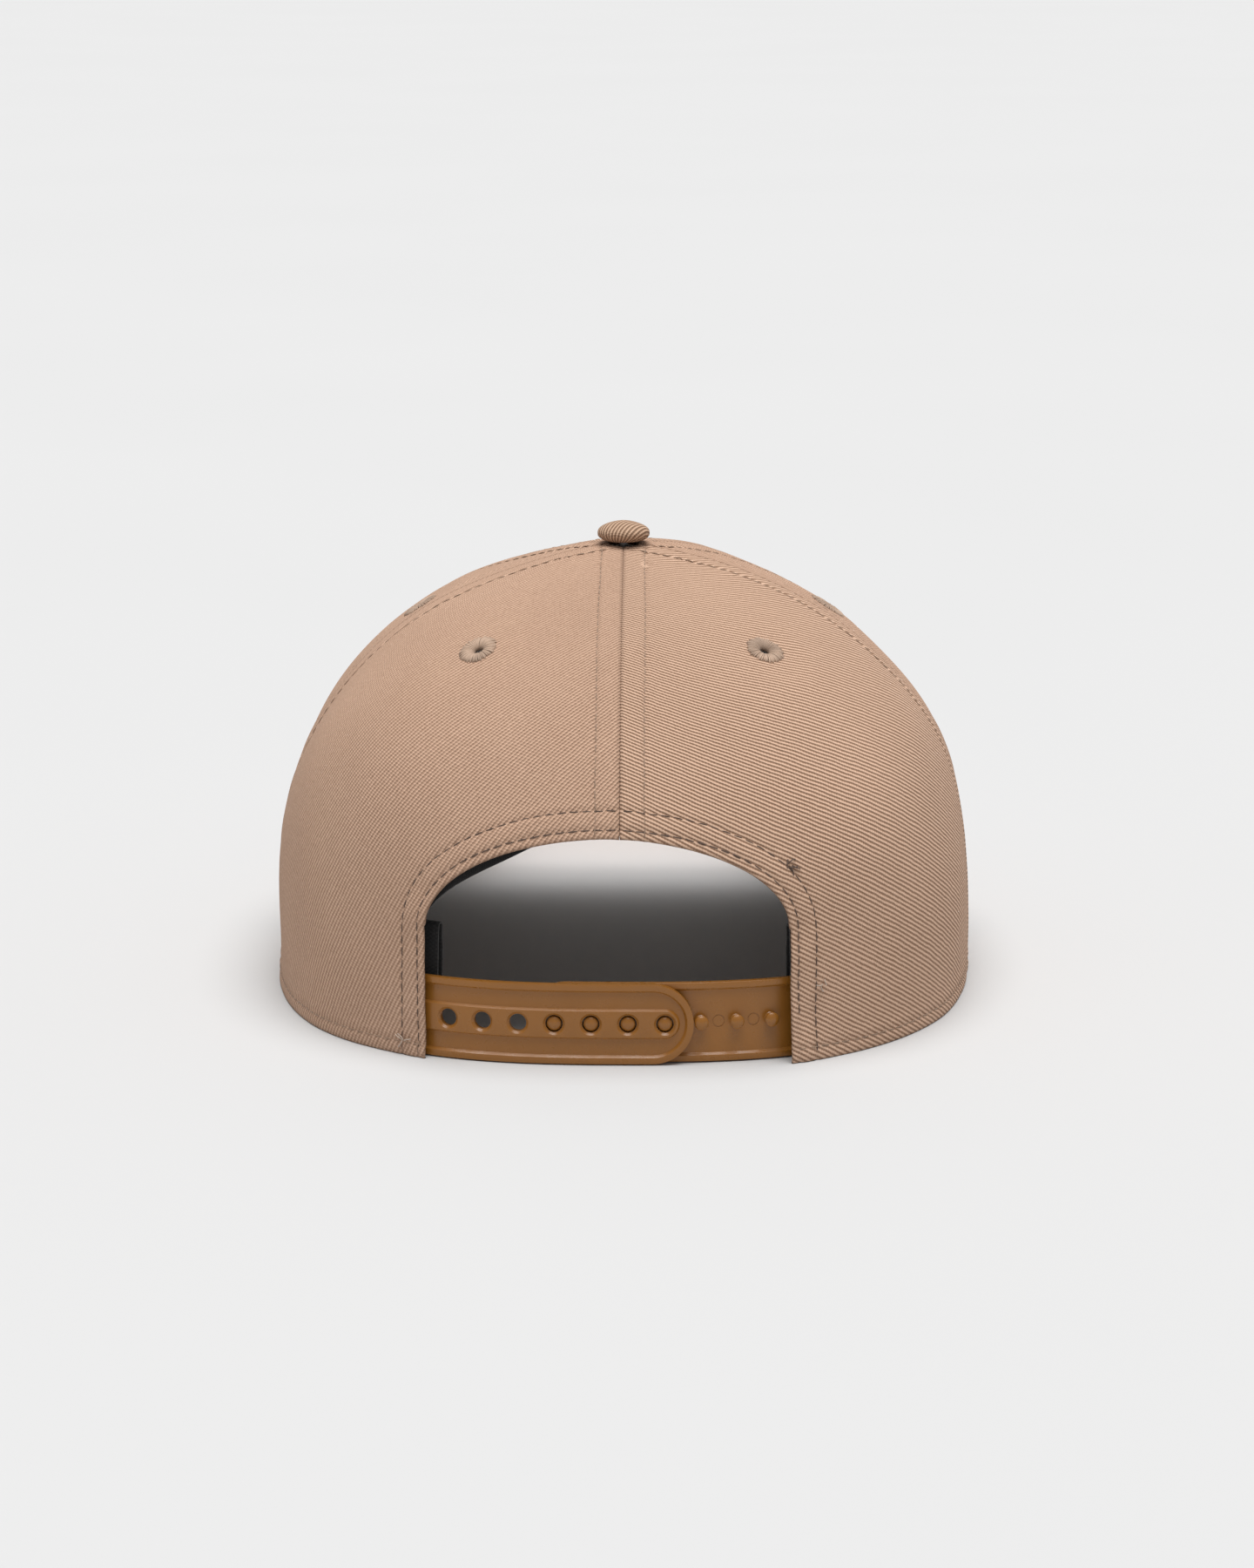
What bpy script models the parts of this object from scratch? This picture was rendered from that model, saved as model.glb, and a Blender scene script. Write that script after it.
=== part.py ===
"""A five-panel snapback baseball cap, with its visor, sweatband, tapes, eyelets, top button and snap straps.

Metres, +Z up. The origin is the middle of the head opening, in the plane that the rim stands on.
-Y is the front, where the visor is, and +Y is the back, where the straps are. +X is the wearer's left.
An azimuth is measured round the crown from the back, towards +X, so the front is at pi.
A rise runs up the crown's outer surface, from 0 at the level of the rim to 1 at its top.
A depth is measured inwards from that surface, along its normal.
"""

from math import asin, atan2, cos, hypot, pi, radians, sin

import bmesh
import bpy
import numpy as np
from mathutils import Matrix, Vector

# Crown: the outer surface. Its exponents are a superellipse's: 2 is round, more is squarer, less is pointed
HALF_WIDTH = 0.0920
HALF_LENGTH = 0.1000
CROWN_HEIGHT = 0.1140
REAR_SQUARENESS = 2.6  # of the plan at the rim; it is an ellipse at the top
FRONT_SQUARENESS = 2.15
WALL_SQUARENESS = 3.5
TOP_POINT = 1.47
FRONT_TOP_POINT = 1.62
TOP_HOLE_RADIUS = 0.0026

# Seams, as azimuths from the back
SIDE_SEAM = radians(84)
FRONT_SEAM = radians(127)

# Layers of the crown, from outside in
GAP = 0.0003
PANEL = 0.0009
TAPE = 0.0006
TAPE_WIDTH = 0.015
BUCKRAM = 0.0008
LINING_DEPTH = PANEL + 2 * GAP  # outer face of the tapes, the facing and the buckram

# Rear opening: an upright-sided arch, a little off the seam
OPENING_SHIFT = 0.0030
OPENING_HALF_WIDTH = 0.0450
OPENING_SIDE_HEIGHT = 0.0338
OPENING_HEIGHT = 0.0567
FACING_WIDTH = 0.011

# Snap straps, moulded flat and wrapped round the back
STRAP_HEIGHT = 0.0204
STRAP_BOTTOM = 0.0004
STRAP_SHEET = 0.0010
STRAP_RELIEF = 0.0005  # how far the rim and the middle band stand off the sheet
STRAP_RIM = 0.0015
STRAP_BAND_HEIGHT = 0.0080
STRAP_BAND_END = 0.0033  # from the middle band's round end to the tip
STRAP_ROOT = 0.013
STRAP_SLOT = 0.0003
SNAP_PITCH = 0.00925
SNAP_COUNT = 7
SNAPS_CLOSED = 4
LAST_HOLE = -0.0114  # arc length from the back's middle, towards the wearer's left
TONGUE_END = 0.0072  # from the last hole or peg to the end of the tongue
HOLE_RADIUS = 0.00230
COUNTERBORE_RADIUS = 0.00262
HOLE_LIP = 0.0005
PEG_RADIUS = 0.00140
PEG_HEAD_RADIUS = 0.00175
PEG_HEAD = 0.0009
PEG_HEIGHT = 0.0022

# Sweatband: a folded strip with a core in the fold
SWEATBAND_HEIGHT = 0.033
SWEATBAND_SHEET = 0.0007
SWEATBAND_CORE = 0.0006

# Visor
VISOR_HALF_ANGLE = radians(67)  # of the crown's front that the visor is sewn to
VISOR_HALF_WIDTH = 0.0935
VISOR_WIDEST = -0.070
VISOR_FRONT = -0.171
VISOR_FULLNESS = 2.3
VISOR_MIDDLE_HEIGHT = 0.0225
VISOR_EDGE_HEIGHT = 0.0019
VISOR_DROOP = 0.05  # fall for each metre forward of the crown
VISOR_BOARD = 0.0017
VISOR_SLACK = 0.0005  # between the board and its covers
VISOR_COVER = 0.0007
RIM_SPARE = radians(5)  # of azimuth from the visor's corner to where the crown's rim starts down
RIM_DROP = radians(10)  # of azimuth in which it comes down to the ground
VISOR_SEAM_DEPTH = 0.0016  # how far the visor reaches under the crown's wall

# Eyelets, and the top button
EYELET_HEIGHT = 0.0950
EYELET_AZIMUTHS = {"rear": radians(36.6), "side": radians(100)}
EYELET_HOLE = 0.0032
EYELET_RADIUS = 0.0056
BUTTON_RADIUS = 0.0069
BUTTON_HEIGHT = 0.0054

COLOURS = {
    "twill": (0.42, 0.29, 0.20),
    "lining": (0.012, 0.011, 0.011),
    "buckram": (0.70, 0.70, 0.68),
    "snap": (0.32, 0.15, 0.05),
    "thread": (0.33, 0.23, 0.17),
    "board": (0.80, 0.80, 0.78),
    "metal": (0.60, 0.60, 0.60),
}


# ---- The crown's outer surface


def lerp(a, b, share):
    return a + (b - a) * share


def smooth(x):
    x = min(1.0, max(0.0, x))
    return x * x * (3 - 2 * x)


def top_point(azimuth):
    """The crown comes to a point at the back and sides, and is fuller in front, where it is stiffened."""
    return lerp(TOP_POINT, FRONT_TOP_POINT, smooth((-cos(azimuth) - 0.1) / 0.9))


def meridian(azimuth, rise):
    """(share of the rim's radius, height) at this rise."""
    turn = (1 - rise) * pi / 2
    return sin(turn) ** (2 / top_point(azimuth)), CROWN_HEIGHT * sin(rise * pi / 2) ** (2 / WALL_SQUARENESS)


def rise_at_height(height):
    return asin((height / CROWN_HEIGHT) ** (WALL_SQUARENESS / 2)) * 2 / pi


def rise_at_radius(radius):
    """The rise where the crown's radius is about this."""
    return 1 - asin((radius / HALF_WIDTH) ** (TOP_POINT / 2)) * 2 / pi


def surface(azimuth, rise):
    share, height = meridian(azimuth, rise)
    rim_power = lerp(REAR_SQUARENESS, FRONT_SQUARENESS, smooth((0.4 - cos(azimuth)) / 1.2))
    power = lerp(2, rim_power, share)
    across, along = sin(azimuth), cos(azimuth)
    radius = (abs(across / HALF_WIDTH) ** power + abs(along / HALF_LENGTH) ** power) ** (-1 / power)
    return Vector((radius * share * across, radius * share * along, height))


def outward(azimuth, rise):
    """The outer surface's unit normal."""
    step = 1e-4
    along = surface(azimuth + step, rise) - surface(azimuth - step, rise)
    up = surface(azimuth, min(rise + step, 1)) - surface(azimuth, max(rise - step, 0))
    return up.cross(along).normalized()


def crown_point(azimuth, rise, depth):
    return surface(azimuth, rise) - outward(azimuth, rise) * depth


def seam_swing(azimuth, rise, distance):
    """The change of azimuth that is this distance along the surface."""
    step = 1e-3
    return distance * step / (surface(azimuth + step, rise) - surface(azimuth, rise)).length


def visor_height(x, y):
    """Height of the middle of the visor's thickness: an arch across, falling a little towards its front."""
    fall = (VISOR_MIDDLE_HEIGHT - VISOR_EDGE_HEIGHT) * (x / VISOR_HALF_WIDTH) ** 2
    return VISOR_MIDDLE_HEIGHT - fall + VISOR_DROOP * min(0.0, y + HALF_LENGTH)


def rim_height(azimuth):
    """The crown stands on the ground at the back and sides, and on the visor in front."""
    from_front = abs(pi - abs(azimuth))
    on_ground = smooth((from_front - VISOR_HALF_ANGLE - RIM_SPARE) / RIM_DROP)
    x, y, _ = crown_point(pi - min(from_front, VISOR_HALF_ANGLE), 0, VISOR_SEAM_DEPTH)
    slope = 2 * (VISOR_MIDDLE_HEIGHT - VISOR_EDGE_HEIGHT) * x / VISOR_HALF_WIDTH**2
    half_visor = VISOR_BOARD / 2 + VISOR_SLACK + VISOR_COVER + GAP
    return (visor_height(x, y) + half_visor * hypot(1, slope)) * (1 - on_ground)


# ---- Making objects


def start():
    for obj in list(bpy.data.objects):
        bpy.data.objects.remove(obj)
    groups = {}
    for name in ("baseball_cap", "cutters"):
        groups[name] = bpy.data.collections.new(name)
        bpy.context.scene.collection.children.link(groups[name])
    return groups


def material(name, metallic=0.0, roughness=0.8):
    found = bpy.data.materials.get(name)
    if found:
        return found
    made = bpy.data.materials.new(name)
    made.use_nodes = True
    shader = made.node_tree.nodes["Principled BSDF"]
    shader.inputs["Base Color"].default_value = (*COLOURS[name], 1)
    shader.inputs["Roughness"].default_value = roughness
    shader.inputs["Metallic"].default_value = metallic
    return made


def add_object(name, data, colour, group="baseball_cap"):
    obj = bpy.data.objects.new(name, data)
    GROUPS[group].objects.link(obj)
    if group == "cutters":
        obj.hide_render = True
        obj.display_type = "WIRE"
    else:
        data.materials.append(colour)
    return obj


def add_sheet(name, place, columns, rows, thickness, colour, group="baseball_cap"):
    """A cloth shell: a grid laid out by place(u, v), both from 0 to 1, that grows in thickness behind its face."""
    grid = bmesh.new()
    bmesh.ops.create_grid(grid, x_segments=columns, y_segments=rows, size=0.5)
    for vertex in grid.verts:
        vertex.co = place(vertex.co.x + 0.5, vertex.co.y + 0.5)
    mesh = bpy.data.meshes.new(name)
    grid.to_mesh(mesh)
    grid.free()
    mesh.shade_smooth()
    obj = add_object(name, mesh, colour, group)
    shell = obj.modifiers.new("thickness", "SOLIDIFY")
    shell.thickness = thickness
    shell.offset = -1
    return obj


def add_turned(name, profile, colour, steps=16):
    """A turned piece about Z: profile is (radius, height) points, which run down the outer side."""
    mesh = bpy.data.meshes.new(name)
    last = len(profile) - 1
    edges = [(i, i + 1) for i in range(last)]
    if profile[0][0] > 0:  # a ring; one that starts on the axis also ends there
        edges.append((last, 0))
    mesh.from_pydata([(radius, 0, height) for radius, height in profile], edges, [])
    obj = add_object(name, mesh, colour)
    turn = obj.modifiers.new("turn", "SCREW")
    turn.steps = turn.render_steps = steps
    turn.use_merge_vertices = True
    turn.merge_threshold = 0.00001
    return obj


def prism(name, outline, low, high, group="cutters", colour=None):
    """An outline in the XY plane, made solid from height low to high."""
    curve = bpy.data.curves.new(name, "CURVE")
    curve.dimensions = "2D"
    curve.fill_mode = "BOTH"
    curve.extrude = (high - low) / 2
    spline = curve.splines.new("POLY")
    spline.points.add(len(outline) - 1)
    for point, (x, y) in zip(spline.points, outline):
        point.co = (x, y, 0, 1)
    spline.use_cyclic_u = True
    flat = bpy.data.objects.new(name + "_outline", curve)
    GROUPS[group].objects.link(flat)
    bpy.context.view_layer.update()
    graph = bpy.context.evaluated_depsgraph_get()
    mesh = bpy.data.meshes.new_from_object(flat.evaluated_get(graph))
    bpy.data.objects.remove(flat)
    welded = bmesh.new()
    welded.from_mesh(mesh)
    bmesh.ops.remove_doubles(welded, verts=welded.verts, dist=1e-6)
    bmesh.ops.translate(welded, verts=welded.verts, vec=(0, 0, (low + high) / 2))
    bmesh.ops.recalc_face_normals(welded, faces=welded.faces)
    welded.to_mesh(mesh)
    welded.free()
    mesh.materials.clear()
    return add_object(name, mesh, colour, group)


def cylinder(name, radius, low, high, x, y, segments=16):
    """A cutter, or a peg to be joined, that stands along Z."""
    shape = bmesh.new()
    bmesh.ops.create_cone(
        shape, cap_ends=True, segments=segments, radius1=radius, radius2=radius, depth=high - low
    )
    bmesh.ops.translate(shape, verts=shape.verts, vec=(x, y, (low + high) / 2))
    mesh = bpy.data.meshes.new(name)
    shape.to_mesh(mesh)
    shape.free()
    return add_object(name, mesh, None, "cutters")


def combine(obj, operation, others):
    for other in others:
        boolean = obj.modifiers.new(other.name, "BOOLEAN")
        boolean.operation = operation
        boolean.object = other
    return obj


# ---- Crown panels and what lines them


def rise_of_row(low, top, share):
    """Spreads a grid's rows over the crown from low to top, evenly enough along its surface."""
    evenness = 1.5
    return top * lerp((low / top) ** (1 / evenness), 1, share) ** evenness


def add_panel(name, first, last, columns, cutters=()):
    """A cloth panel between two seams. The grid runs against the azimuth, so that its face points out."""
    foot = 0.0005  # a rim that stands on the ground reaches this far below it, and is then cut flat

    def place(u, v):
        rim = rim_height(lerp(last, first, u))
        rise = rise_of_row(rise_at_height(rim), rise_at_radius(TOP_HOLE_RADIUS), v)
        spare = GAP / 2
        start_at = first + seam_swing(first, rise, spare)
        end_at = last - seam_swing(last, rise, spare)
        point = crown_point(lerp(end_at, start_at, u), rise, 0)
        if v == 0 and rim == 0:
            point.z -= foot
        return point

    panel = add_sheet(name, place, columns, 12, PANEL, material("twill"))
    return combine(panel, "DIFFERENCE", cutters)


def add_tape(name, seam, low_height):
    """A seam tape on the inside, which narrows towards the top."""
    top_rise = rise_at_radius(0.011)
    low_rise = rise_at_height(low_height)
    most_share = 0.38  # of the crown's radius there, so that five tapes meet without overlapping

    def place(u, v):
        rise = rise_of_row(low_rise, top_rise, v)
        half = min(TAPE_WIDTH / 2, most_share * hypot(*surface(seam, rise).xy))
        azimuth = seam + seam_swing(seam, rise, half * (1 - 2 * u))
        return crown_point(azimuth, rise, LINING_DEPTH)

    return add_sheet(name, place, 2, 12, TAPE, material("lining"))


def add_buckram():
    """The stiff backing that holds the front panel up."""
    side_margin = 0.009
    top_rise = rise_at_radius(0.0125)

    def place(u, v):
        low = rise_at_height(rim_height(lerp(2 * pi - FRONT_SEAM, FRONT_SEAM, u)) + 0.001)
        rise = rise_of_row(low, top_rise, v)
        margin = min(side_margin, 0.5 * hypot(*surface(FRONT_SEAM, rise).xy))
        swing = seam_swing(FRONT_SEAM, rise, margin)
        azimuth = lerp(2 * pi - FRONT_SEAM - swing, FRONT_SEAM + swing, u)
        return crown_point(azimuth, rise, LINING_DEPTH)

    return add_sheet("front_buckram", place, 12, 9, BUCKRAM, material("buckram"))


def arch_outline(margin, foot):
    """The rear opening as (x, height) points, grown outwards by margin and reaching down to foot."""
    half = OPENING_HALF_WIDTH + margin
    top = OPENING_HEIGHT - OPENING_SIDE_HEIGHT + margin
    steps = 7
    quarter = [(half * cos(pi / 2 * i / steps), top * sin(pi / 2 * i / steps)) for i in range(steps)]
    left = [(OPENING_SHIFT + x, OPENING_SIDE_HEIGHT + z) for x, z in quarter]
    right = [(OPENING_SHIFT - x, OPENING_SIDE_HEIGHT + z) for x, z in reversed(quarter)]
    middle = (OPENING_SHIFT, OPENING_SIDE_HEIGHT + top)
    return [(OPENING_SHIFT + half, foot), *left, middle, *right, (OPENING_SHIFT - half, foot)]


def ground_cutter():
    """Everything just under the plane that the cap stands on."""
    half = 0.12
    return prism("ground", [(-half, -half), (half, -half), (half, half), (-half, half)], -0.005, 0)


def arch_cutter(name, margin, foot=-0.01):
    """The rear opening as a cutter that runs along Y through the back of the crown."""
    cutter = prism(name, arch_outline(margin, foot), -0.13, -0.05)
    cutter.data.transform(Matrix.Rotation(pi / 2, 4, "X"))
    return cutter


def add_facing(opening):
    """The tape that binds the inside of the rear opening's edge."""
    reach = radians(42)
    low_rise, top_rise = rise_at_height(0.0004), rise_at_height(0.078)

    def place(u, v):
        return crown_point(lerp(reach, -reach, u), rise_of_row(low_rise, top_rise, v), LINING_DEPTH)

    facing = add_sheet("opening_facing", place, 14, 6, TAPE, material("lining"))
    combine(facing, "INTERSECT", [arch_cutter("facing_outline", FACING_WIDTH)])
    return combine(facing, "DIFFERENCE", [opening])


# ---- Depths of what lies inside the lining

FACING_INNER = LINING_DEPTH + TAPE
STRAP_TOP = STRAP_SHEET + STRAP_RELIEF
HOLES_DEPTH = FACING_INNER + GAP + STRAP_TOP  # inner face of the strap with holes
PEGS_DEPTH = HOLES_DEPTH + GAP + STRAP_TOP  # inner face of the strap with pegs
SWEATBAND_DEPTH = LINING_DEPTH + BUCKRAM + 3 * GAP
SWEATBAND_DEPTH_AT_STRAPS = PEGS_DEPTH + 2 * GAP


# ---- Sweatband


def sweatband_depth(azimuth):
    """The band lies against the crown, and further in behind the straps."""
    behind_straps = 1 - smooth((abs(azimuth) - radians(44)) / radians(16))
    return lerp(SWEATBAND_DEPTH, SWEATBAND_DEPTH_AT_STRAPS, behind_straps)


def add_sweatband():
    """A strip folded over at its top: up the crown's side, over the core, and down the head's side."""
    first = edge_azimuth(1) + radians(0.4)
    last = 2 * pi + edge_azimuth(-1) - radians(2.0)
    fold = SWEATBAND_CORE + 2 * GAP + SWEATBAND_SHEET
    lift = 0.0012
    section = [(0, lift), (0, 0.5), (0, 0.985), (0.5, 1), (1, 0.985), (1, 0.5), (1, lift)]

    def height_of(azimuth, share):
        return rim_height(azimuth) + 0.0008 + SWEATBAND_HEIGHT * share

    def place_cover(u, v):
        azimuth = lerp(first, last, u)
        across, share = section[round(v * (len(section) - 1))]
        depth = sweatband_depth(wrapped(azimuth)) + SWEATBAND_SHEET + across * (fold - SWEATBAND_SHEET)
        return crown_point(azimuth, rise_at_height(height_of(azimuth, share)), depth)

    def place_core(u, v):
        azimuth = lerp(first, last, u)
        depth = sweatband_depth(wrapped(azimuth)) + SWEATBAND_SHEET + GAP
        share = (0.06, 0.5, 0.93)[round(2 * v)]
        return crown_point(azimuth, rise_at_height(height_of(azimuth, share)), depth + SWEATBAND_CORE)

    add_sheet("sweatband", place_cover, 36, 6, SWEATBAND_SHEET, material("lining"))
    add_sheet("sweatband_core", place_core, 36, 2, SWEATBAND_CORE, material("buckram"))


def wrapped(azimuth):
    """The same azimuth between -pi and pi."""
    return azimuth - 2 * pi if azimuth > pi else azimuth


# ---- Snap straps


def azimuth_at(arc_length):
    """The azimuth that is this far round the rim from the back's middle."""
    return float(np.interp(arc_length, RIM_ARCS, RIM_AZIMUTHS))


def edge_azimuth(side):
    """The rear opening's upright edge: side is 1 on the wearer's left and -1 on the right."""
    x = OPENING_SHIFT + side * OPENING_HALF_WIDTH
    y = HALF_LENGTH * (1 - abs(x / HALF_WIDTH) ** REAR_SQUARENESS) ** (1 / REAR_SQUARENESS)
    return atan2(x, y)


def edge_arc(side):
    """The same edge, as an arc length from the back's middle."""
    return float(np.interp(edge_azimuth(side), RIM_AZIMUTHS, RIM_ARCS))


RIM_AZIMUTHS = [radians(degrees) for degrees in range(-60, 61)]
RIM_ARCS = np.cumsum(
    [0.0]
    + [(surface(b, 0) - surface(a, 0)).length for a, b in zip(RIM_AZIMUTHS, RIM_AZIMUTHS[1:])]
)
RIM_ARCS = RIM_ARCS - RIM_ARCS[len(RIM_ARCS) // 2]


def strap_outline(root, tip, inset):
    """A strap's outline as (arc length, height): square at its root, with a round end at its tip."""
    way = 1 if tip > root else -1
    half = STRAP_HEIGHT / 2 - inset
    middle = STRAP_BOTTOM + STRAP_HEIGHT / 2
    centre = tip - way * STRAP_HEIGHT / 2
    steps = 12
    arc = [
        (centre + way * half * sin(pi * i / steps), middle + half * cos(pi * i / steps))
        for i in range(steps + 1)
    ]
    start_at = root + way * inset
    return [(start_at, middle + half), *arc, (start_at, middle - half)]


def wrap(obj, depth):
    """Bends a flat piece round the back: its x is arc length, its y is height and its z is how far out it stands."""
    bpy.context.view_layer.update()
    graph = bpy.context.evaluated_depsgraph_get()
    flat = bpy.data.meshes.new_from_object(obj.evaluated_get(graph))
    shape = bmesh.new()
    shape.from_mesh(flat)
    step = 0.008
    low = min(vertex.co.x for vertex in shape.verts)
    high = max(vertex.co.x for vertex in shape.verts)
    for i in range(1, int((high - low) / step) + 1):
        everything = [*shape.verts, *shape.edges, *shape.faces]
        at = (low + i * step, 0, 0)
        bmesh.ops.bisect_plane(shape, geom=everything, dist=1e-7, plane_co=at, plane_no=(1, 0, 0))
    bmesh.ops.triangulate(shape, faces=shape.faces)
    for vertex in shape.verts:
        rise = rise_at_height(vertex.co.y)
        vertex.co = crown_point(azimuth_at(vertex.co.x), rise, depth - vertex.co.z)
    bmesh.ops.reverse_faces(shape, faces=shape.faces)  # this bend also mirrors the shape
    obj.modifiers.clear()
    shape.to_mesh(obj.data)
    shape.free()
    bpy.data.meshes.remove(flat)
    return obj


def hang(obj, arc_length, depth):
    """Puts a strap's origin on the upright line that it flexes about."""
    hinge = crown_point(azimuth_at(arc_length), 0, depth)
    obj.data.transform(Matrix.Translation(-hinge))
    obj.location = hinge


STRAP_MIDDLE = STRAP_BOTTOM + STRAP_HEIGHT / 2


def add_strap_sheet(name, root, tip):
    """A flat tongue with a raised rim."""
    strap = prism(name, strap_outline(root, tip, 0), 0, STRAP_TOP, "baseball_cap", material("snap"))
    way = 1 if tip > root else -1
    open_root = root - way * 2 * STRAP_RIM  # the rim runs along the edges and round the tip, not across the root
    pocket = prism(name + "_pocket", strap_outline(open_root, tip, STRAP_RIM), STRAP_SHEET, 0.003)
    return combine(strap, "DIFFERENCE", [pocket])


def add_strap_with_holes():
    root = edge_arc(1) - STRAP_SLOT
    tip = LAST_HOLE - TONGUE_END
    strap = add_strap_sheet("snap_strap_holes", root, tip)
    half = STRAP_BAND_HEIGHT / 2
    end = tip + STRAP_BAND_END + half
    steps = 10
    arc = [
        (end - half * sin(pi * i / steps), STRAP_MIDDLE + half * cos(pi * i / steps))
        for i in range(steps + 1)
    ]
    band_outline = [(root, STRAP_MIDDLE + half), *arc, (root, STRAP_MIDDLE - half)]
    band = prism("holes_band", band_outline, STRAP_SHEET / 2, STRAP_TOP)
    combine(strap, "UNION", [band])
    for i in range(SNAP_COUNT):
        at = (LAST_HOLE + i * SNAP_PITCH, STRAP_MIDDLE)
        through = cylinder(f"hole_{i}", HOLE_RADIUS, -0.001, 0.003, *at)
        counterbore = cylinder(f"counterbore_{i}", COUNTERBORE_RADIUS, HOLE_LIP, 0.003, *at)
        combine(strap, "DIFFERENCE", [through, counterbore])
    hang(wrap(strap, HOLES_DEPTH), root + STRAP_SLOT / 2, HOLES_DEPTH - STRAP_TOP)


def add_strap_with_pegs():
    root = edge_arc(-1) + STRAP_SLOT
    last_peg = LAST_HOLE + (SNAPS_CLOSED - 1) * SNAP_PITCH
    strap = add_strap_sheet("snap_strap_pegs", root, last_peg + TONGUE_END)
    for i in range(SNAP_COUNT):
        at = (last_peg - i * SNAP_PITCH, STRAP_MIDDLE)
        top = STRAP_SHEET + PEG_HEIGHT
        peg = cylinder(f"peg_{i}", PEG_RADIUS, STRAP_SHEET / 2, top - PEG_HEAD / 2, *at, segments=12)
        head = cylinder(f"peg_head_{i}", PEG_HEAD_RADIUS, top - PEG_HEAD, top, *at, segments=12)
        combine(strap, "UNION", [peg, head])
    hang(wrap(strap, PEGS_DEPTH), root - STRAP_SLOT / 2, PEGS_DEPTH)


def add_strap_root(name, side, depth):
    """The end of a strap that is sewn in behind the rear panel's edge, where the strap flexes."""
    near = edge_arc(side)
    far = near + side * STRAP_ROOT
    low, high = STRAP_BOTTOM, STRAP_BOTTOM + STRAP_HEIGHT
    outline = [(near, low), (far, low), (far, high), (near, high)]
    wrap(prism(name, outline, 0, STRAP_TOP, "baseball_cap", material("snap")), depth)


# ---- Visor


def visor_corner_turn():
    """The turn at which the visor's edge runs into the crown's side."""
    return pi - asin(surface(pi - VISOR_HALF_ANGLE, 0).x / VISOR_HALF_WIDTH)


def visor_edge(turn):
    """The visor's outer edge in plan: turn is 0 at its front."""
    if abs(turn) <= pi / 2:
        power = 2 / VISOR_FULLNESS
        across = abs(sin(turn)) ** power
        forward = cos(turn) ** power if abs(turn) < pi / 2 else 0
        y = VISOR_WIDEST + (VISOR_FRONT - VISOR_WIDEST) * forward
    else:
        across = abs(sin(turn))
        reach = surface(pi - VISOR_HALF_ANGLE, 0).y - VISOR_WIDEST
        y = VISOR_WIDEST + reach * cos(turn) / cos(visor_corner_turn())
    return Vector(((1 if turn > 0 else -1) * VISOR_HALF_WIDTH * across, y, 0))


def visor_plan(u, v):
    """A point of the visor in plan: u runs across, from -1 to 1, and v from the crown out to the edge."""
    inner = crown_point(pi - u * VISOR_HALF_ANGLE, 0, VISOR_SEAM_DEPTH)
    return lerp(inner, visor_edge(u * visor_corner_turn()), v)


def on_visor(u, v, offset, beyond=0.0):
    """A point offset from the visor's middle surface, and beyond its edge by the given distance."""
    at = visor_plan(u, v)
    out = (visor_plan(u, 1) - visor_plan(u, 0.9)).normalized()
    step = 1e-4
    slope_x = (visor_height(at.x + step, at.y) - visor_height(at.x - step, at.y)) / (2 * step)
    slope_y = (visor_height(at.x, at.y + step) - visor_height(at.x, at.y - step)) / (2 * step)
    normal = Vector((-slope_x, -slope_y, 1)).normalized()
    return Vector((at.x, at.y, visor_height(at.x, at.y))) + out * beyond + normal * offset


def add_visor():
    columns, rows, wrap_rows = 22, 5, 2
    inset = 0.975  # the board ends a little inside the covers
    roll = VISOR_BOARD / 2 + VISOR_SLACK + VISOR_COVER
    last_turn = radians(68)

    def place_board(u, v):
        return on_visor(1 - 2 * u, inset * max(0.02, v), VISOR_BOARD / 2)

    def place_cover(u, v, face):
        row = v * (rows + wrap_rows)
        turn = last_turn * max(0.0, row - rows) / wrap_rows
        share = min(1.0, row / rows) * inset
        return on_visor(face * (1 - 2 * u), share, face * roll * cos(turn), roll * sin(turn))

    add_sheet("visor_board", place_board, columns, rows, VISOR_BOARD, material("board"))
    for name, face in (("visor_top_cover", 1), ("visor_under_cover", -1)):

        def place(u, v, face=face):
            return place_cover(u, v, face)

        add_sheet(name, place, columns, rows + wrap_rows, VISOR_COVER, material("twill"))


# ---- Eyelets and top button


def eyelet_frame(azimuth):
    """Where an eyelet sits on the crown, with its local Z pointing out."""
    rise = rise_at_height(EYELET_HEIGHT)
    turn = outward(azimuth, rise).to_track_quat("Z", "Y")
    return Matrix.LocRotScale(surface(azimuth, rise), turn, None)


def add_eyelets():
    """The stitched rings, each a flange on the panel with a collar through its hole. Returns each hole's cutter."""
    flange = GAP + 0.0001
    profile = [
        (0.0016, 0.0010),
        (0.0030, 0.0012),
        (EYELET_RADIUS - 0.0005, 0.0009),
        (EYELET_RADIUS, flange),
        (EYELET_HOLE - GAP, flange),
        (EYELET_HOLE - GAP, -0.0010),
        (0.0019, -0.0010),
    ]
    cutters = {}
    for place, azimuth in EYELET_AZIMUTHS.items():
        for side, way in (("left", 1), ("right", -1)):
            at = eyelet_frame(azimuth * way)
            ring = add_turned(f"eyelet_{place}_{side}", profile, material("thread"), 20)
            ring.matrix_world = at
            hole = cylinder(f"eyelet_hole_{place}_{side}", EYELET_HOLE, -0.004, 0.004, 0, 0, 20)
            hole.matrix_world = at
            cutters[place, side] = hole
    return cutters


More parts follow.
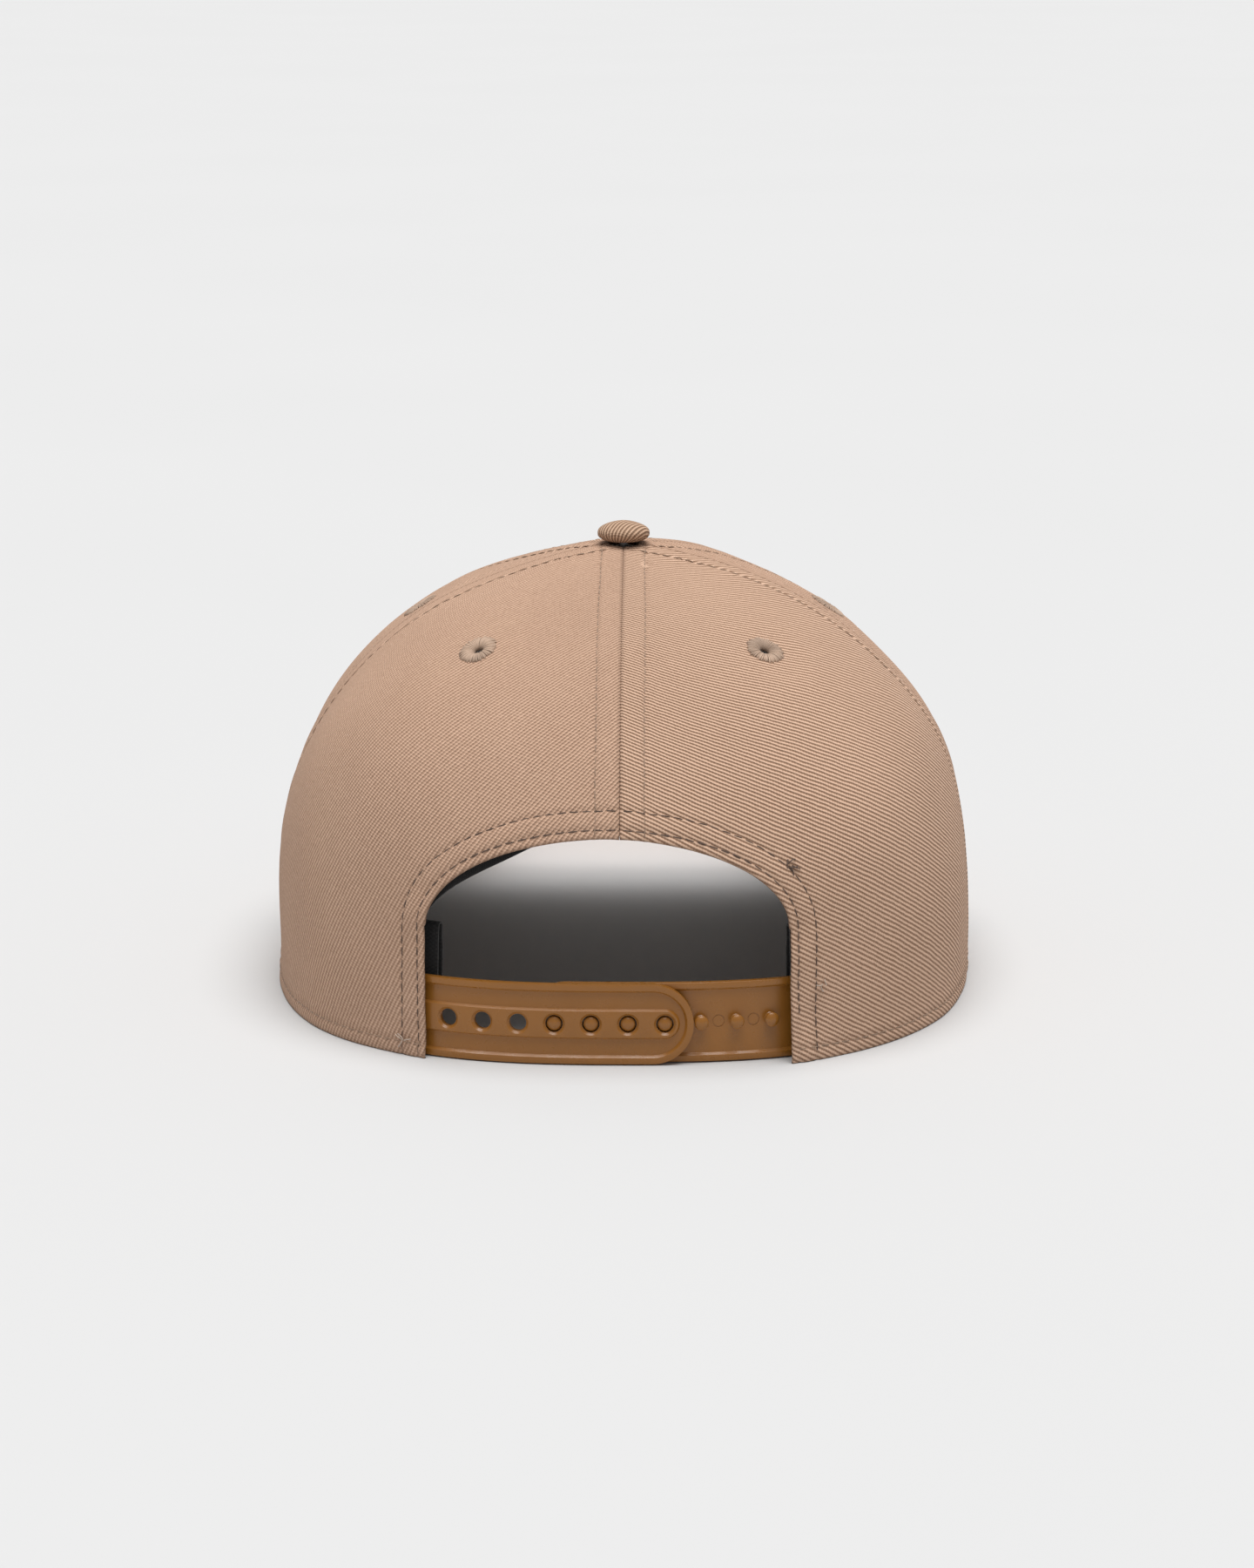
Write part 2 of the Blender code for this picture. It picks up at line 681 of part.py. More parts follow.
def add_button():
    """The covered button: cloth over a metal shell, held by a riveted stud and a washer inside the crown."""
    base = CROWN_HEIGHT + GAP
    cloth, shell = 0.0006, 0.0005
    steps = 5

    def dome(radius, height, low):
        """Down the outer side of a dome, from its middle to its widest point."""
        return [
            (radius * sin(pi / 2 * i / steps), low + height * cos(pi / 2 * i / steps))
            for i in range(steps + 1)
        ]

    belly = 0.0018  # height of the widest point above the base
    hem = 0.0048  # radius where the cloth's edge is tucked under
    outer = dome(BUTTON_RADIUS, BUTTON_HEIGHT - belly, base + belly)
    inner = dome(BUTTON_RADIUS - cloth, BUTTON_HEIGHT - belly - cloth, base + belly)
    under = [
        (BUTTON_RADIUS - cloth, base + cloth),
        (hem, base),
        (hem, base + cloth),
        (BUTTON_RADIUS - 2 * cloth, base + 1.6 * cloth),
    ]
    add_turned("button_cover", [*outer, *under, *reversed(inner)], material("twill"))

    radius = BUTTON_RADIUS - cloth - GAP
    top = BUTTON_HEIGHT - belly - cloth - GAP
    outside = dome(radius, top, base + belly)
    inside = dome(radius - shell, top - shell, base + belly)
    add_turned("button_shell", [*outside, *reversed(inside)], material("metal", 1.0, 0.35))

    inside_crown = CROWN_HEIGHT - PANEL - GAP
    washer_top = inside_crown - 0.0005
    washer_low = washer_top - 0.0006
    post, head = 0.0012, 0.0022
    stud = [
        (0, base + 0.0016),
        (0.0042, base + 0.0016),
        (0.0042, base + 0.0009),
        (post, base + 0.0009),
        (post, washer_low - GAP),
        (head, washer_low - GAP),
        (head, washer_low - GAP - 0.0006),
        (0, washer_low - GAP - 0.0009),
    ]
    add_turned("button_stud", stud, material("metal", 1.0, 0.35))
    dish = 0.0009
    washer = [
        (post + GAP, washer_top),
        (0.0085, washer_top - dish),
        (0.0085, washer_low - dish),
        (post + GAP, washer_low),
    ]
    add_turned("button_washer", washer, material("metal", 1.0, 0.35))


def main():
    holes = add_eyelets()
    opening = arch_cutter("rear_opening", 0)
    ground = ground_cutter()
    for side, way in (("left", 1), ("right", -1)):
        ends = sorted((0.0, way * SIDE_SEAM))
        add_panel(f"rear_panel_{side}", *ends, 12, [opening, ground, holes["rear", side]])
        ends = sorted((way * SIDE_SEAM, way * FRONT_SEAM))
        add_panel(f"side_panel_{side}", *ends, 9, [ground, holes["side", side]])
        add_tape(f"seam_tape_side_{side}", way * SIDE_SEAM, 0.003)
        add_tape(f"seam_tape_front_{side}", way * FRONT_SEAM, rim_height(FRONT_SEAM) + 0.002)
    add_panel("front_panel", FRONT_SEAM, 2 * pi - FRONT_SEAM, 14)
    add_tape("seam_tape_rear", 0, OPENING_HEIGHT + FACING_WIDTH + 0.002)
    add_buckram()
    add_facing(opening)
    add_sweatband()
    add_strap_with_holes()
    add_strap_with_pegs()
    add_strap_root("snap_strap_holes_root", 1, HOLES_DEPTH)
    add_strap_root("snap_strap_pegs_root", -1, PEGS_DEPTH)
    add_visor()
    add_button()


GROUPS = start()
main()
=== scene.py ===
"""The looks of a tan cotton twill baseball cap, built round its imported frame.

Metres, in the frame's axes: -Y is the front, where the visor is, +Y the back, +X the wearer's left, +Z up.
An azimuth is measured round the crown from the back, towards +X. A rise runs from 0 at the rim's level to 1
at the crown's top, an arc is the length along the crown's wall that leads there, and a depth is measured
inwards from the crown's outer surface. Cloth pieces are grids of points in these terms.
"""

from math import ceil, cos, pi, radians, sin

import bmesh
import bpy
import numpy as np
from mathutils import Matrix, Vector
from mathutils.bvhtree import BVHTree
from mathutils.kdtree import KDTree


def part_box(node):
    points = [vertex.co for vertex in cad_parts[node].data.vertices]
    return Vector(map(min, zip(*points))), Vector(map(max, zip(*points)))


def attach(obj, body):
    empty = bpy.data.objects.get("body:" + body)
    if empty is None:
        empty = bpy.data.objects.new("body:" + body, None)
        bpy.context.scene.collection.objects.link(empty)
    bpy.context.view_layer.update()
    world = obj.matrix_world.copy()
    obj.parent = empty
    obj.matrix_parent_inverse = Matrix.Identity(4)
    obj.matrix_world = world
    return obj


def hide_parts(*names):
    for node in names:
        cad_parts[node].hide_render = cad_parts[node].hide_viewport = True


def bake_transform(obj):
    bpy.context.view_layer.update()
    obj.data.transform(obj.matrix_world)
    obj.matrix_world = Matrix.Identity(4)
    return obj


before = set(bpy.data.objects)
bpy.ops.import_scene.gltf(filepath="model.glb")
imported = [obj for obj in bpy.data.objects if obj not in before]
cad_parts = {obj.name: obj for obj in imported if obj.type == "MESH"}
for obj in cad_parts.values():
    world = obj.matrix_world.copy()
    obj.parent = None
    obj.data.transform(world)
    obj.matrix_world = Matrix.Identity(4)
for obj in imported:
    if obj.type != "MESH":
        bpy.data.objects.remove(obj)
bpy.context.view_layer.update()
RANDOM = np.random.default_rng(11)

# The crown's outer surface, as in the frame
HALF_WIDTH = 0.0920
HALF_LENGTH = 0.1000
CROWN_HEIGHT = 0.1140
REAR_SQUARENESS = 2.6
FRONT_SQUARENESS = 2.15
WALL_SQUARENESS = 3.5
TOP_POINT = 1.47
FRONT_TOP_POINT = 1.62
SIDE_SEAM = radians(84)
FRONT_SEAM = radians(127)

# The rear opening
OPENING_SHIFT = 0.0030
OPENING_HALF_WIDTH = 0.0450
OPENING_SIDE_HEIGHT = 0.0338
OPENING_HEIGHT = 0.0567

# The visor
VISOR_HALF_ANGLE = radians(67)
VISOR_HALF_WIDTH = 0.0935
VISOR_WIDEST = -0.070
VISOR_FRONT = -0.171
VISOR_FULLNESS = 2.3
VISOR_MIDDLE_HEIGHT = 0.0225
VISOR_EDGE_HEIGHT = 0.0019
VISOR_DROOP = 0.05
VISOR_HALF_THICKNESS = 0.00205
VISOR_SEAM_DEPTH = 0.0016
VISOR_ROWS = tuple(0.0042 + 0.0066 * i for i in range(8))  # rows of stitching, from its edge
RIM_SPARE = radians(5)
RIM_DROP = radians(10)

# Cloth and its sewing
CLOTH = 0.00055
VISOR_CLOTH = 0.0006
BUTTON_CLOTH = 0.0004
EDGE = 0.00055  # radius of a turned edge
SEAM_GAP = 0.00048  # from a seam to where its cloth turns under, so that the two turns press together
TOP_RADIUS = 0.0045  # where the panels end, under the button
SEAM_ROW = 0.0060  # a seam's topstitching, from the seam
ARCH_ROWS = (0.0024, 0.0071)  # from the rear opening's edge
HEM_ROW = 0.0035
STITCH = 0.0031  # length of one stitch
VISOR_STITCH = 1.1 * STITCH
SWEATBAND_STITCH = 0.0032
STITCH_REACH = 0.002  # how far from its line a row finds its cloth
THREAD = 0.00015  # radius
OPENING_THREAD = 0.00014
FOLD = 0.00026  # how much a sewn fold stands out
ROW_SHADE = 0.16  # painted shade along a row of stitches
ROW_SHADE_WIDTH = 0.0004
LINE_STEP = 0.0006  # spacing of the points on a seam's or an edge's line
SWELL = 0.00080  # the cloth's broad unevenness
PUCKER = 0.00055  # more of it beside the rear opening
PUCKER_REACH = 0.011
PUCKER_HEIGHT = 0.046  # above this there are none

# The twill's weave
WALE = 0.00107  # from one wale to the next
WALE_STEEP = radians(62)
FLOAT_LENGTH = 0.00062
ACROSS = radians(88)  # turn of a piece that is cut the other way of the cloth
WALE_TURNS = {
    "rear_left": 0.0,
    "rear_right": ACROSS,
    "side_left": ACROSS,
    "side_right": 0.0,
    "front": radians(20),
}

# Eyelets
EYELET_HEIGHT = 0.0950
EYELET_AZIMUTHS = {"rear": radians(36.6), "side": radians(100)}
EYELET_CUT = 0.0024
EYELET_HOLE = 0.0013
EYELET_REACH = 0.0050
EYELET_STITCHES = 58

# Inside the crown
LINING_DEPTH = 0.0015
TAPE_WIDTH = 0.015
TAPE = 0.0006
FACING_WIDTH = 0.011
FACING_MARGIN = 0.0019  # how far its inner edge stays back from the opening's edge
FACING_SAG = 0.0034  # how far it hangs down where it is slack
SLACK_PLACE = 0.306  # share of the way round the opening, from the wearer's left
SLACK_REACH = 0.117
BUCKRAM_SHEET = 0.0008
SHEET_GAP = 0.0001  # how much thinner than its place a strip is laid in
SWEATBAND_HEIGHT = 0.033
SWEATBAND_FOOT = 0.0008  # above the rim
SWEATBAND_SHEET = 0.0007
SWEATBAND_FOLD = 0.0019
SWEATBAND_DEPTH = 0.0032
SWEATBAND_DEPTH_AT_STRAPS = 0.0063

# Snap straps: along the back (arc length), up it (height) and out from it
STRAP_BOTTOM = 0.0004
STRAP_HEIGHT = 0.0204
STRAP_MIDDLE = STRAP_BOTTOM + STRAP_HEIGHT / 2
STRAP_SHEET = 0.0010
STRAP_RELIEF = 0.0008
STRAP_TOP = STRAP_SHEET + STRAP_RELIEF
STRAP_RIM = 0.0021  # width of the raised rim
STRAP_DRAFT = 0.0006  # how much a raised side leans
STRAP_BAND_HEIGHT = 0.0080  # of the raised band that holds the holes
STRAP_BAND_END = 0.0033  # from the tip
STRAP_ROOT = 0.013  # length sewn in beside the opening
STRAP_ROUNDING = 0.00016
STRAP_STEP = 0.0011  # between the cuts that let a strap bend
SNAP_PITCH = 0.00925
SNAP_COUNT = 7
SNAPS_CLOSED = 4
LAST_HOLE = -0.0114  # the hole nearest the strap's tip
TONGUE_END = 0.0072  # from the last hole or peg to the tip
HOLE_RADIUS = 0.0022
COUNTERBORE_RADIUS = 0.0029
PEG_RADIUS = 0.0014
PEG_HEAD_RADIUS = 0.0018
PEG_TOP = STRAP_SHEET + 0.0026
MARK_RADIUS = 0.0016  # of the rings moulded between the pegs
MARK_LINE = 0.00022
HOLES_DEPTH = 0.0039  # of each strap's flat back, inside the crown's surface
PEGS_DEPTH = 0.0057


# ---- The crown's surface


def unit(vectors):
    return vectors / np.maximum(np.linalg.norm(vectors, axis=-1, keepdims=True), 1e-12)


def smooth(x):
    x = np.clip(x, 0, 1)
    return x * x * (3 - 2 * x)


def lerp(a, b, share):
    return a + (b - a) * share


def surface(azimuth, rise):
    """Points on the crown's outer surface."""
    azimuth, rise = np.broadcast_arrays(np.asarray(azimuth, float), np.asarray(rise, float))
    point = lerp(TOP_POINT, FRONT_TOP_POINT, smooth((-np.cos(azimuth) - 0.1) / 0.9))
    share = np.sin((1 - rise) * pi / 2) ** (2 / point)
    height = CROWN_HEIGHT * np.sin(rise * pi / 2) ** (2 / WALL_SQUARENESS)
    rim_power = lerp(REAR_SQUARENESS, FRONT_SQUARENESS, smooth((0.4 - np.cos(azimuth)) / 1.2))
    power = lerp(2, rim_power, share)
    across, along = np.sin(azimuth), np.cos(azimuth)
    radius = (abs(across / HALF_WIDTH) ** power + abs(along / HALF_LENGTH) ** power) ** (-1 / power)
    return np.stack([radius * share * across, radius * share * along, height], -1)


def across_and_up(normal):
    """Two directions along the crown's wall at a point with this normal: level, and upwards."""
    right = unit(np.cross((0, 0, 1), normal))
    return right, np.cross(normal, right)


def outward(azimuth, rise):
    """The crown's outward normals."""
    step = 1e-4
    along = surface(azimuth + step, rise) - surface(azimuth - step, rise)
    up = surface(azimuth, np.minimum(rise + step, 1)) - surface(azimuth, np.maximum(rise - step, 0))
    return unit(np.cross(up, along))


def crown_point(azimuth, rise, depth):
    return surface(azimuth, rise) - outward(azimuth, rise) * np.asarray(depth)[..., None]


def arcs_along(points):
    """Length from a line's start to each of its points."""
    return np.concatenate([[0.0], np.cumsum(np.linalg.norm(np.diff(points, axis=0), axis=1))])


TABLE_RISES = np.linspace(0, 1, 3000) ** 3
TABLE_ARCS = arcs_along(surface(radians(60), TABLE_RISES))
TABLE_AZIMUTHS = np.radians(np.arange(-60, 61))
RIM_ARCS = arcs_along(surface(TABLE_AZIMUTHS, 0.0))
RIM_ARCS = RIM_ARCS - RIM_ARCS[len(RIM_ARCS) // 2]


def rise_at_height(height):
    return np.arcsin((np.maximum(height, 0) / CROWN_HEIGHT) ** (WALL_SQUARENESS / 2)) * 2 / pi


def rise_at_arc(arc):
    return np.interp(arc, TABLE_ARCS, TABLE_RISES)


def arc_at_height(height):
    return np.interp(rise_at_height(height), TABLE_RISES, TABLE_ARCS)


def rise_at_radius(radius):
    return 1 - np.arcsin((radius / HALF_WIDTH) ** (TOP_POINT / 2)) * 2 / pi


def azimuth_at(arc_length):
    """The azimuth this far round the rim from the back's middle."""
    return np.interp(arc_length, RIM_ARCS, TABLE_AZIMUTHS)


TOP_ARC = np.interp(rise_at_radius(TOP_RADIUS), TABLE_RISES, TABLE_ARCS)


def visor_height(x, y):
    """Height of the visor's middle surface."""
    fall = (VISOR_MIDDLE_HEIGHT - VISOR_EDGE_HEIGHT) * (x / VISOR_HALF_WIDTH) ** 2
    return VISOR_MIDDLE_HEIGHT - fall + VISOR_DROOP * np.minimum(0.0, y + HALF_LENGTH)


def rim_height(azimuth):
    """Height of the crown's lower edge: on the ground at the back and sides, on the visor in front."""
    from_front = abs(pi - abs(np.asarray(azimuth, float)))
    on_ground = smooth((from_front - VISOR_HALF_ANGLE - RIM_SPARE) / RIM_DROP)
    at = crown_point(pi - np.minimum(from_front, VISOR_HALF_ANGLE), 0.0, VISOR_SEAM_DEPTH)
    x, y = at[..., 0], at[..., 1]
    slope = 2 * (VISOR_MIDDLE_HEIGHT - VISOR_EDGE_HEIGHT) * x / VISOR_HALF_WIDTH**2
    return (visor_height(x, y) + 1.15 * VISOR_HALF_THICKNESS * np.hypot(1, slope)) * (1 - on_ground)


# ---- Cloth noise: sums of plane waves, the same in every run


def plane_waves(count, shortest, longest):
    directions = unit(RANDOM.normal(size=(count, 3)))
    lengths = np.geomspace(shortest, longest, count)
    return directions * (2 * pi / lengths)[:, None], RANDOM.uniform(0, 2 * pi, count), lengths / longest


def ripple(points, waves):
    """A smooth value of about -1 to 1 at each point."""
    vectors, phases, weights = waves
    return (np.sin(points @ vectors.T + phases) * weights).sum(-1) / weights.sum() * 1.8


BROAD = plane_waves(9, 0.030, 0.075)
FINE = plane_waves(9, 0.006, 0.016)
PUCKERS = plane_waves(7, 0.009, 0.024)


# ---- Meshes


def add_object(name, data):
    obj = bpy.data.objects.new(name, data)
    bpy.context.scene.collection.objects.link(obj)
    return obj


def add_mesh(name, points, faces, material, uv, painted_shade=None):
    mesh = bpy.data.meshes.new(name)
    mesh.from_pydata(np.asarray(points, float).tolist(), [], [list(map(int, face)) for face in faces])
    mesh.shade_smooth()
    mesh.materials.append(material)
    corners = np.empty(len(mesh.loops), np.int32)
    mesh.loops.foreach_get("vertex_index", corners)
    mesh.uv_layers.new(name="weave").data.foreach_set("uv", np.asarray(uv)[corners].ravel())
    if painted_shade is not None:
        attribute = mesh.attributes.new("painted_shade", "FLOAT", "POINT")
        attribute.data.foreach_set("value", np.asarray(painted_shade, np.float32))
    return add_object(name, mesh)


def finish_piece(obj, nodes):
    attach(obj, "cap")
    if nodes:
        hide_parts(*nodes)


def declare_cloth(uv):
    """Takes the piece's own flat coordinates as pairs, and does nothing more with them."""
    uv = uv.reshape(-1, 2)


def thicken(obj, thickness, offset=-1):
    """Gives a laid-out cloth its thickness, inwards unless told otherwise."""
    shell = obj.modifiers.new("thickness", "SOLIDIFY")
    shell.thickness = thickness
    shell.offset = offset


def grid_faces(rows, columns, closed=False):
    """Quads over row-major points, facing out when the columns run with the azimuth."""
    index = np.arange(rows * columns).reshape(rows, columns)
    if closed:
        index = np.concatenate([index, index[:, :1]], axis=1)
    low, high = index[:-1], index[1:]
    quads = [low[:, :-1], high[:, :-1], high[:, 1:], low[:, 1:]]
    return np.stack(quads, -1).reshape(-1, 4)


def vertex_normals(points, faces):
    a, b, c, d = (points[faces[:, i]] for i in range(4))
    normals = np.cross(c - a, d - b)
    total = np.zeros_like(points)
    for corner in range(4):
        np.add.at(total, faces[:, corner], normals)
    return unit(total)


def outline_of(faces):
    """The mesh's outer loop of points, in its faces' sense."""
    starts = faces.ravel()
    ends = np.roll(faces, -1, axis=1).ravel()
    inner = set(zip(ends.tolist(), starts.tolist()))
    follows = {a: b for a, b in zip(starts.tolist(), ends.tolist()) if (a, b) not in inner}
    first = min(follows)
    loop = [first]
    while follows[loop[-1]] != first:
        loop.append(follows[loop[-1]])
    return np.array(loop)


def turn_edges(points, faces, uv, painted_shade):
    """Rolls the cloth under along its whole outline, as a turned and pressed edge."""
    loop = outline_of(faces)
    normals = vertex_normals(points, faces)[loop]
    edge, edge_uv = points[loop], uv[loop]
    along = np.roll(edge, -1, 0) - np.roll(edge, 1, 0)
    back, ahead = unit(edge - np.roll(edge, 1, 0)), unit(np.roll(edge, -1, 0) - edge)
    half_turn = np.sqrt((1 + (back * ahead).sum(-1, keepdims=True)) / 2)
    out = unit(np.cross(along, normals)) / np.maximum(half_turn, 0.7)  # mitred at the corners
    along_uv = np.roll(edge_uv, -1, 0) - np.roll(edge_uv, 1, 0)
    out_uv = unit(np.stack([along_uv[:, 1], -along_uv[:, 0]], -1))
    turns = np.radians([35, 70, 105, 140, 175])
    rings = [(EDGE * sin(turn), EDGE * (1 - cos(turn)), EDGE * turn) for turn in turns]
    rings.append((-0.0014, 2 * EDGE, 0.0032))
    before = loop
    for reach, drop, length in rings:
        new = np.arange(len(points), len(points) + len(loop))
        points = np.concatenate([points, edge + out * reach - normals * drop])
        uv = np.concatenate([uv, edge_uv + out_uv * length])
        # The rolled-under part is painted darker: painted shade under the turned edge
        painted_shade = np.concatenate([painted_shade, painted_shade[loop] + min(1.0, drop / EDGE)])
        quads = np.stack([np.roll(before, -1), before, new, np.roll(new, -1)], -1)
        faces = np.concatenate([faces, quads])
        before = new
    return points, faces, uv, painted_shade


# ---- Lines on the cloth, and stitching along them


def from_line(points, line):
    """(distance from a line, length along it) of each point."""
    tree = KDTree(len(line))
    for i, point in enumerate(line):
        tree.insert(point, i)
    tree.balance()
    nearest = np.array([tree.find(point)[1] for point in points])
    lengths = arcs_along(line)
    step = lengths[-1] / (len(line) - 1)
    ways = unit(np.gradient(line, axis=0))[nearest]
    gaps = points - line[nearest]
    ahead = np.clip((gaps * ways).sum(-1), -step, step)
    return np.linalg.norm(gaps - ways * ahead[:, None], axis=1), lengths[nearest] + ahead


def resample(line, spacing):
    lengths = arcs_along(line)
    at = np.linspace(0, lengths[-1], max(2, round(lengths[-1] / spacing) + 1))
    return np.stack([np.interp(at, lengths, line[:, i]) for i in range(3)], -1)


def furrow(distance, along, row):
    """Cloth pressed down by a row of stitches, more at each needle hole, with a soft swell beyond it."""
    pulled = 0.8 + 0.2 * np.cos(along * 2 * pi / STITCH)
    pressed = -0.00024 * np.exp(-(((distance - row) / 0.00055) ** 2)) * pulled
    swell = 0.00010 * np.exp(-(((distance - row - 0.0016) / 0.0011) ** 2))
    return pressed + swell


def row_shade(distance, row):
    """Painted shade along a row of stitches, darkest on the row, where its furrow lies."""
    return ROW_SHADE * np.exp(-(((distance - row) / ROW_SHADE_WIDTH) ** 2))


def sewn_relief(points, edges):
    """(height, painted shade) at each point, from sewn edges given as (line, distances of its stitch rows).
    """
    height = np.zeros(len(points))
    painted_shade = np.zeros(len(points))
    puckers = ripple(points, FINE)
    for line, rows in edges:
        distance, along = from_line(points, line)
        height += FOLD * smooth((rows[-1] + 0.0004 - distance) / 0.0010)
        for row in rows:
            height += furrow(distance, along, row)
            near = np.exp(-(((distance - row) / 0.0026) ** 2))
            height += 0.00013 * near * puckers
            painted_shade = np.maximum(painted_shade, row_shade(distance, row))
        # Painted shade in the seam's own groove, darkest on its line
        painted_shade = np.maximum(painted_shade, 0.7 * smooth(1 - distance / 0.0010))
    return height, painted_shade


class Cloth:
    """A laid-out piece of cloth: its grid before thickness, for stitches to find its surface."""

    def __init__(self, points, faces):
        self.tree = BVHTree.FromPolygons(points.tolist(), faces.tolist())
        self.middle = points.mean(0)

    def near(self, points, reach):
        """(places, normals) on the cloth nearest to these points, for those within reach."""
        found = [self.tree.find_nearest(Vector(point)) for point in points]
        kept = [(place, normal) for place, normal, _, gap in found if place is not None and gap < reach]
        if len(kept) < 2:
            return np.empty((0, 3)), np.empty((0, 3))
        return np.array([p for p, _ in kept]), np.array([n for _, n in kept])

    def row(self, line, distance):
        """The needle holes of a row of stitches this far from a line, on the side of the cloth's middle."""
        line = resample(line, 0.0010)
        places, normals = self.near(line, 1.0)
        beside = np.linalg.norm(places - line, axis=1) < 0.0025
        if not beside.any():
            return None
        sideways = unit(np.cross(normals, np.gradient(line, axis=0)))
        toward = ((self.middle - line) * sideways).sum(-1)
        sideways *= np.sign(toward[beside].sum())
        places, normals = self.near(line + sideways * distance, 0.0011)
        if len(places) < 3:
            return None
        return self.near(resample(places, STITCH), STITCH_REACH)


class Threads:
    """Short round threads, gathered in one mesh."""

    SIDES = 6

    def __init__(self, sections):
        self.sections = sections
        self.angles = np.arange(self.SIDES) * 2 * pi / self.SIDES
        self.points, self.faces, self.uv = [], [], []

    def add(self, middle, beside, up, girth, along):
        """One thread: its middle line, the two ways across it, its radius, and its place along the ply."""
        first = len(self.points) * self.sections * self.SIDES
        last = first + (self.sections - 1) * self.SIDES
        cosines, sines = np.cos(self.angles)[None, :, None], np.sin(self.angles)[None, :, None]
        ring = cosines * np.atleast_2d(beside)[:, None] + sines * np.atleast_2d(up)[:, None]
        self.points.append((middle[:, None] + ring * np.reshape(girth, (-1, 1, 1))).reshape(-1, 3))
        flat = np.broadcast_arrays(along[:, None], self.angles[None] / (2 * pi))
        self.uv.append(np.stack(flat, -1).reshape(-1, 2))
        self.faces.extend(grid_faces(self.sections, self.SIDES, closed=True) + first)
        self.faces.append(list(range(first, first + self.SIDES)))
        self.faces.append(list(range(last, last + self.SIDES))[::-1])

    def finish(self, name, material, nodes=()):
        obj = add_mesh(name, np.concatenate(self.points), self.faces, material, np.concatenate(self.uv))
        finish_piece(obj, nodes)


def add_stitches(name, rows, material, radius=THREAD):
    """Rows of lockstitch: each stitch is a short thread that dips into the cloth at its two needle holes."""
    dip = 0.0004
    shares = np.linspace(0, 1, 7)
    bow = np.sin(pi * shares) ** 0.4
    stitches = Threads(len(shares))
    for places, normals in rows:
        starts, ends = places[:-1], places[1:]
        normals = unit(normals[:-1] + normals[1:])
        sideways = unit(np.cross(unit(ends - starts), normals))
        shift = RANDOM.normal(0, 0.00006, (len(starts), 1))
        lift = 0.00012 * RANDOM.uniform(0.7, 1.25, len(starts))
        for i in range(len(starts)):
            centre = lerp(starts[i], ends[i], (0.01 + 0.98 * shares)[:, None])
            centre = centre + normals[i] * (bow * (lift[i] + dip) - dip)[:, None]
            centre = centre + sideways[i] * shift[i] * (1 - 2 * shares)[:, None]
            stitches.add(centre, sideways[i], normals[i], radius * (0.55 + 0.45 * bow), shares)
    stitches.finish(name, material)


# ---- Material nodes


def toned(colour, share):
    return tuple(share * value for value in colour)


class Surface:
    """A material with a Principled shader, and short forms for the nodes that feed it."""

    def __init__(self, name, roughness, sheen=0.0, metallic=0.0, specular=0.5):
        self.material = bpy.data.materials.new(name)
        self.material.use_nodes = True
        self.tree = self.material.node_tree
        self.shader = self.tree.nodes["Principled BSDF"]
        self.shader.inputs["Roughness"].default_value = roughness
        self.shader.inputs["Metallic"].default_value = metallic
        self.shader.inputs["Specular IOR Level"].default_value = specular
        self.shader.inputs["Sheen Weight"].default_value = sheen
        self.shader.inputs["Sheen Roughness"].default_value = 0.6

    def node(self, kind, inputs, output=0, **settings):
        """A node with these inputs, each a value or another node's socket. Returns one of its outputs."""
        made = self.tree.nodes.new(kind)
        for name, value in settings.items():
            setattr(made, name, value)
        for name, value in inputs.items():
            if isinstance(value, bpy.types.NodeSocket):
                self.tree.links.new(value, made.inputs[name])
            else:
                made.inputs[name].default_value = value
        return made.outputs[output]

    def math(self, operation, *values):
        return self.node("ShaderNodeMath", dict(enumerate(values)), operation=operation)

    def weave(self):
        """The cloth's own flat coordinates (across the warp, along it), in metres."""
        flat = self.node("ShaderNodeUVMap", {}, uv_map="weave")
        split = self.tree.nodes.new("ShaderNodeSeparateXYZ")
        self.tree.links.new(flat, split.inputs[0])
        return split.outputs[0], split.outputs[1]

    def noise(self, scale, detail):
        place = self.node("ShaderNodeTexCoord", {}, "Object")
        return self.node("ShaderNodeTexNoise", {"Vector": place, "Scale": scale, "Detail": detail}, "Fac")

    def spread(self, value, low, high, to_low=0.0, to_high=1.0):
        inputs = {"Value": value, "From Min": low, "From Max": high, "To Min": to_low, "To Max": to_high}
        return self.node("ShaderNodeMapRange", inputs, "Result")

    def cycle(self, turns, high=1.0):
        """A wave from 0 to 1, once for each whole turn."""
        return self.spread(self.math("SINE", self.math("MULTIPLY", turns, 2 * pi)), -1.0, high)

    def blend(self, share, a, b):
        colours = [value if isinstance(value, bpy.types.NodeSocket) else (*value, 1) for value in (a, b)]
        return self.node("ShaderNodeMix", {0: share, 6: colours[0], 7: colours[1]}, 2, data_type="RGBA")

    def feed(self, colour, roughness=None, height=None, distance=0.0001, strength=1.0):
        self.tree.links.new(colour, self.shader.inputs["Base Color"])
        if roughness is not None:
            self.tree.links.new(roughness, self.shader.inputs["Roughness"])
        if height is not None:
            inputs = {"Height": height, "Distance": distance, "Strength": strength}
            self.tree.links.new(self.node("ShaderNodeBump", inputs), self.shader.inputs["Normal"])
        return self.material


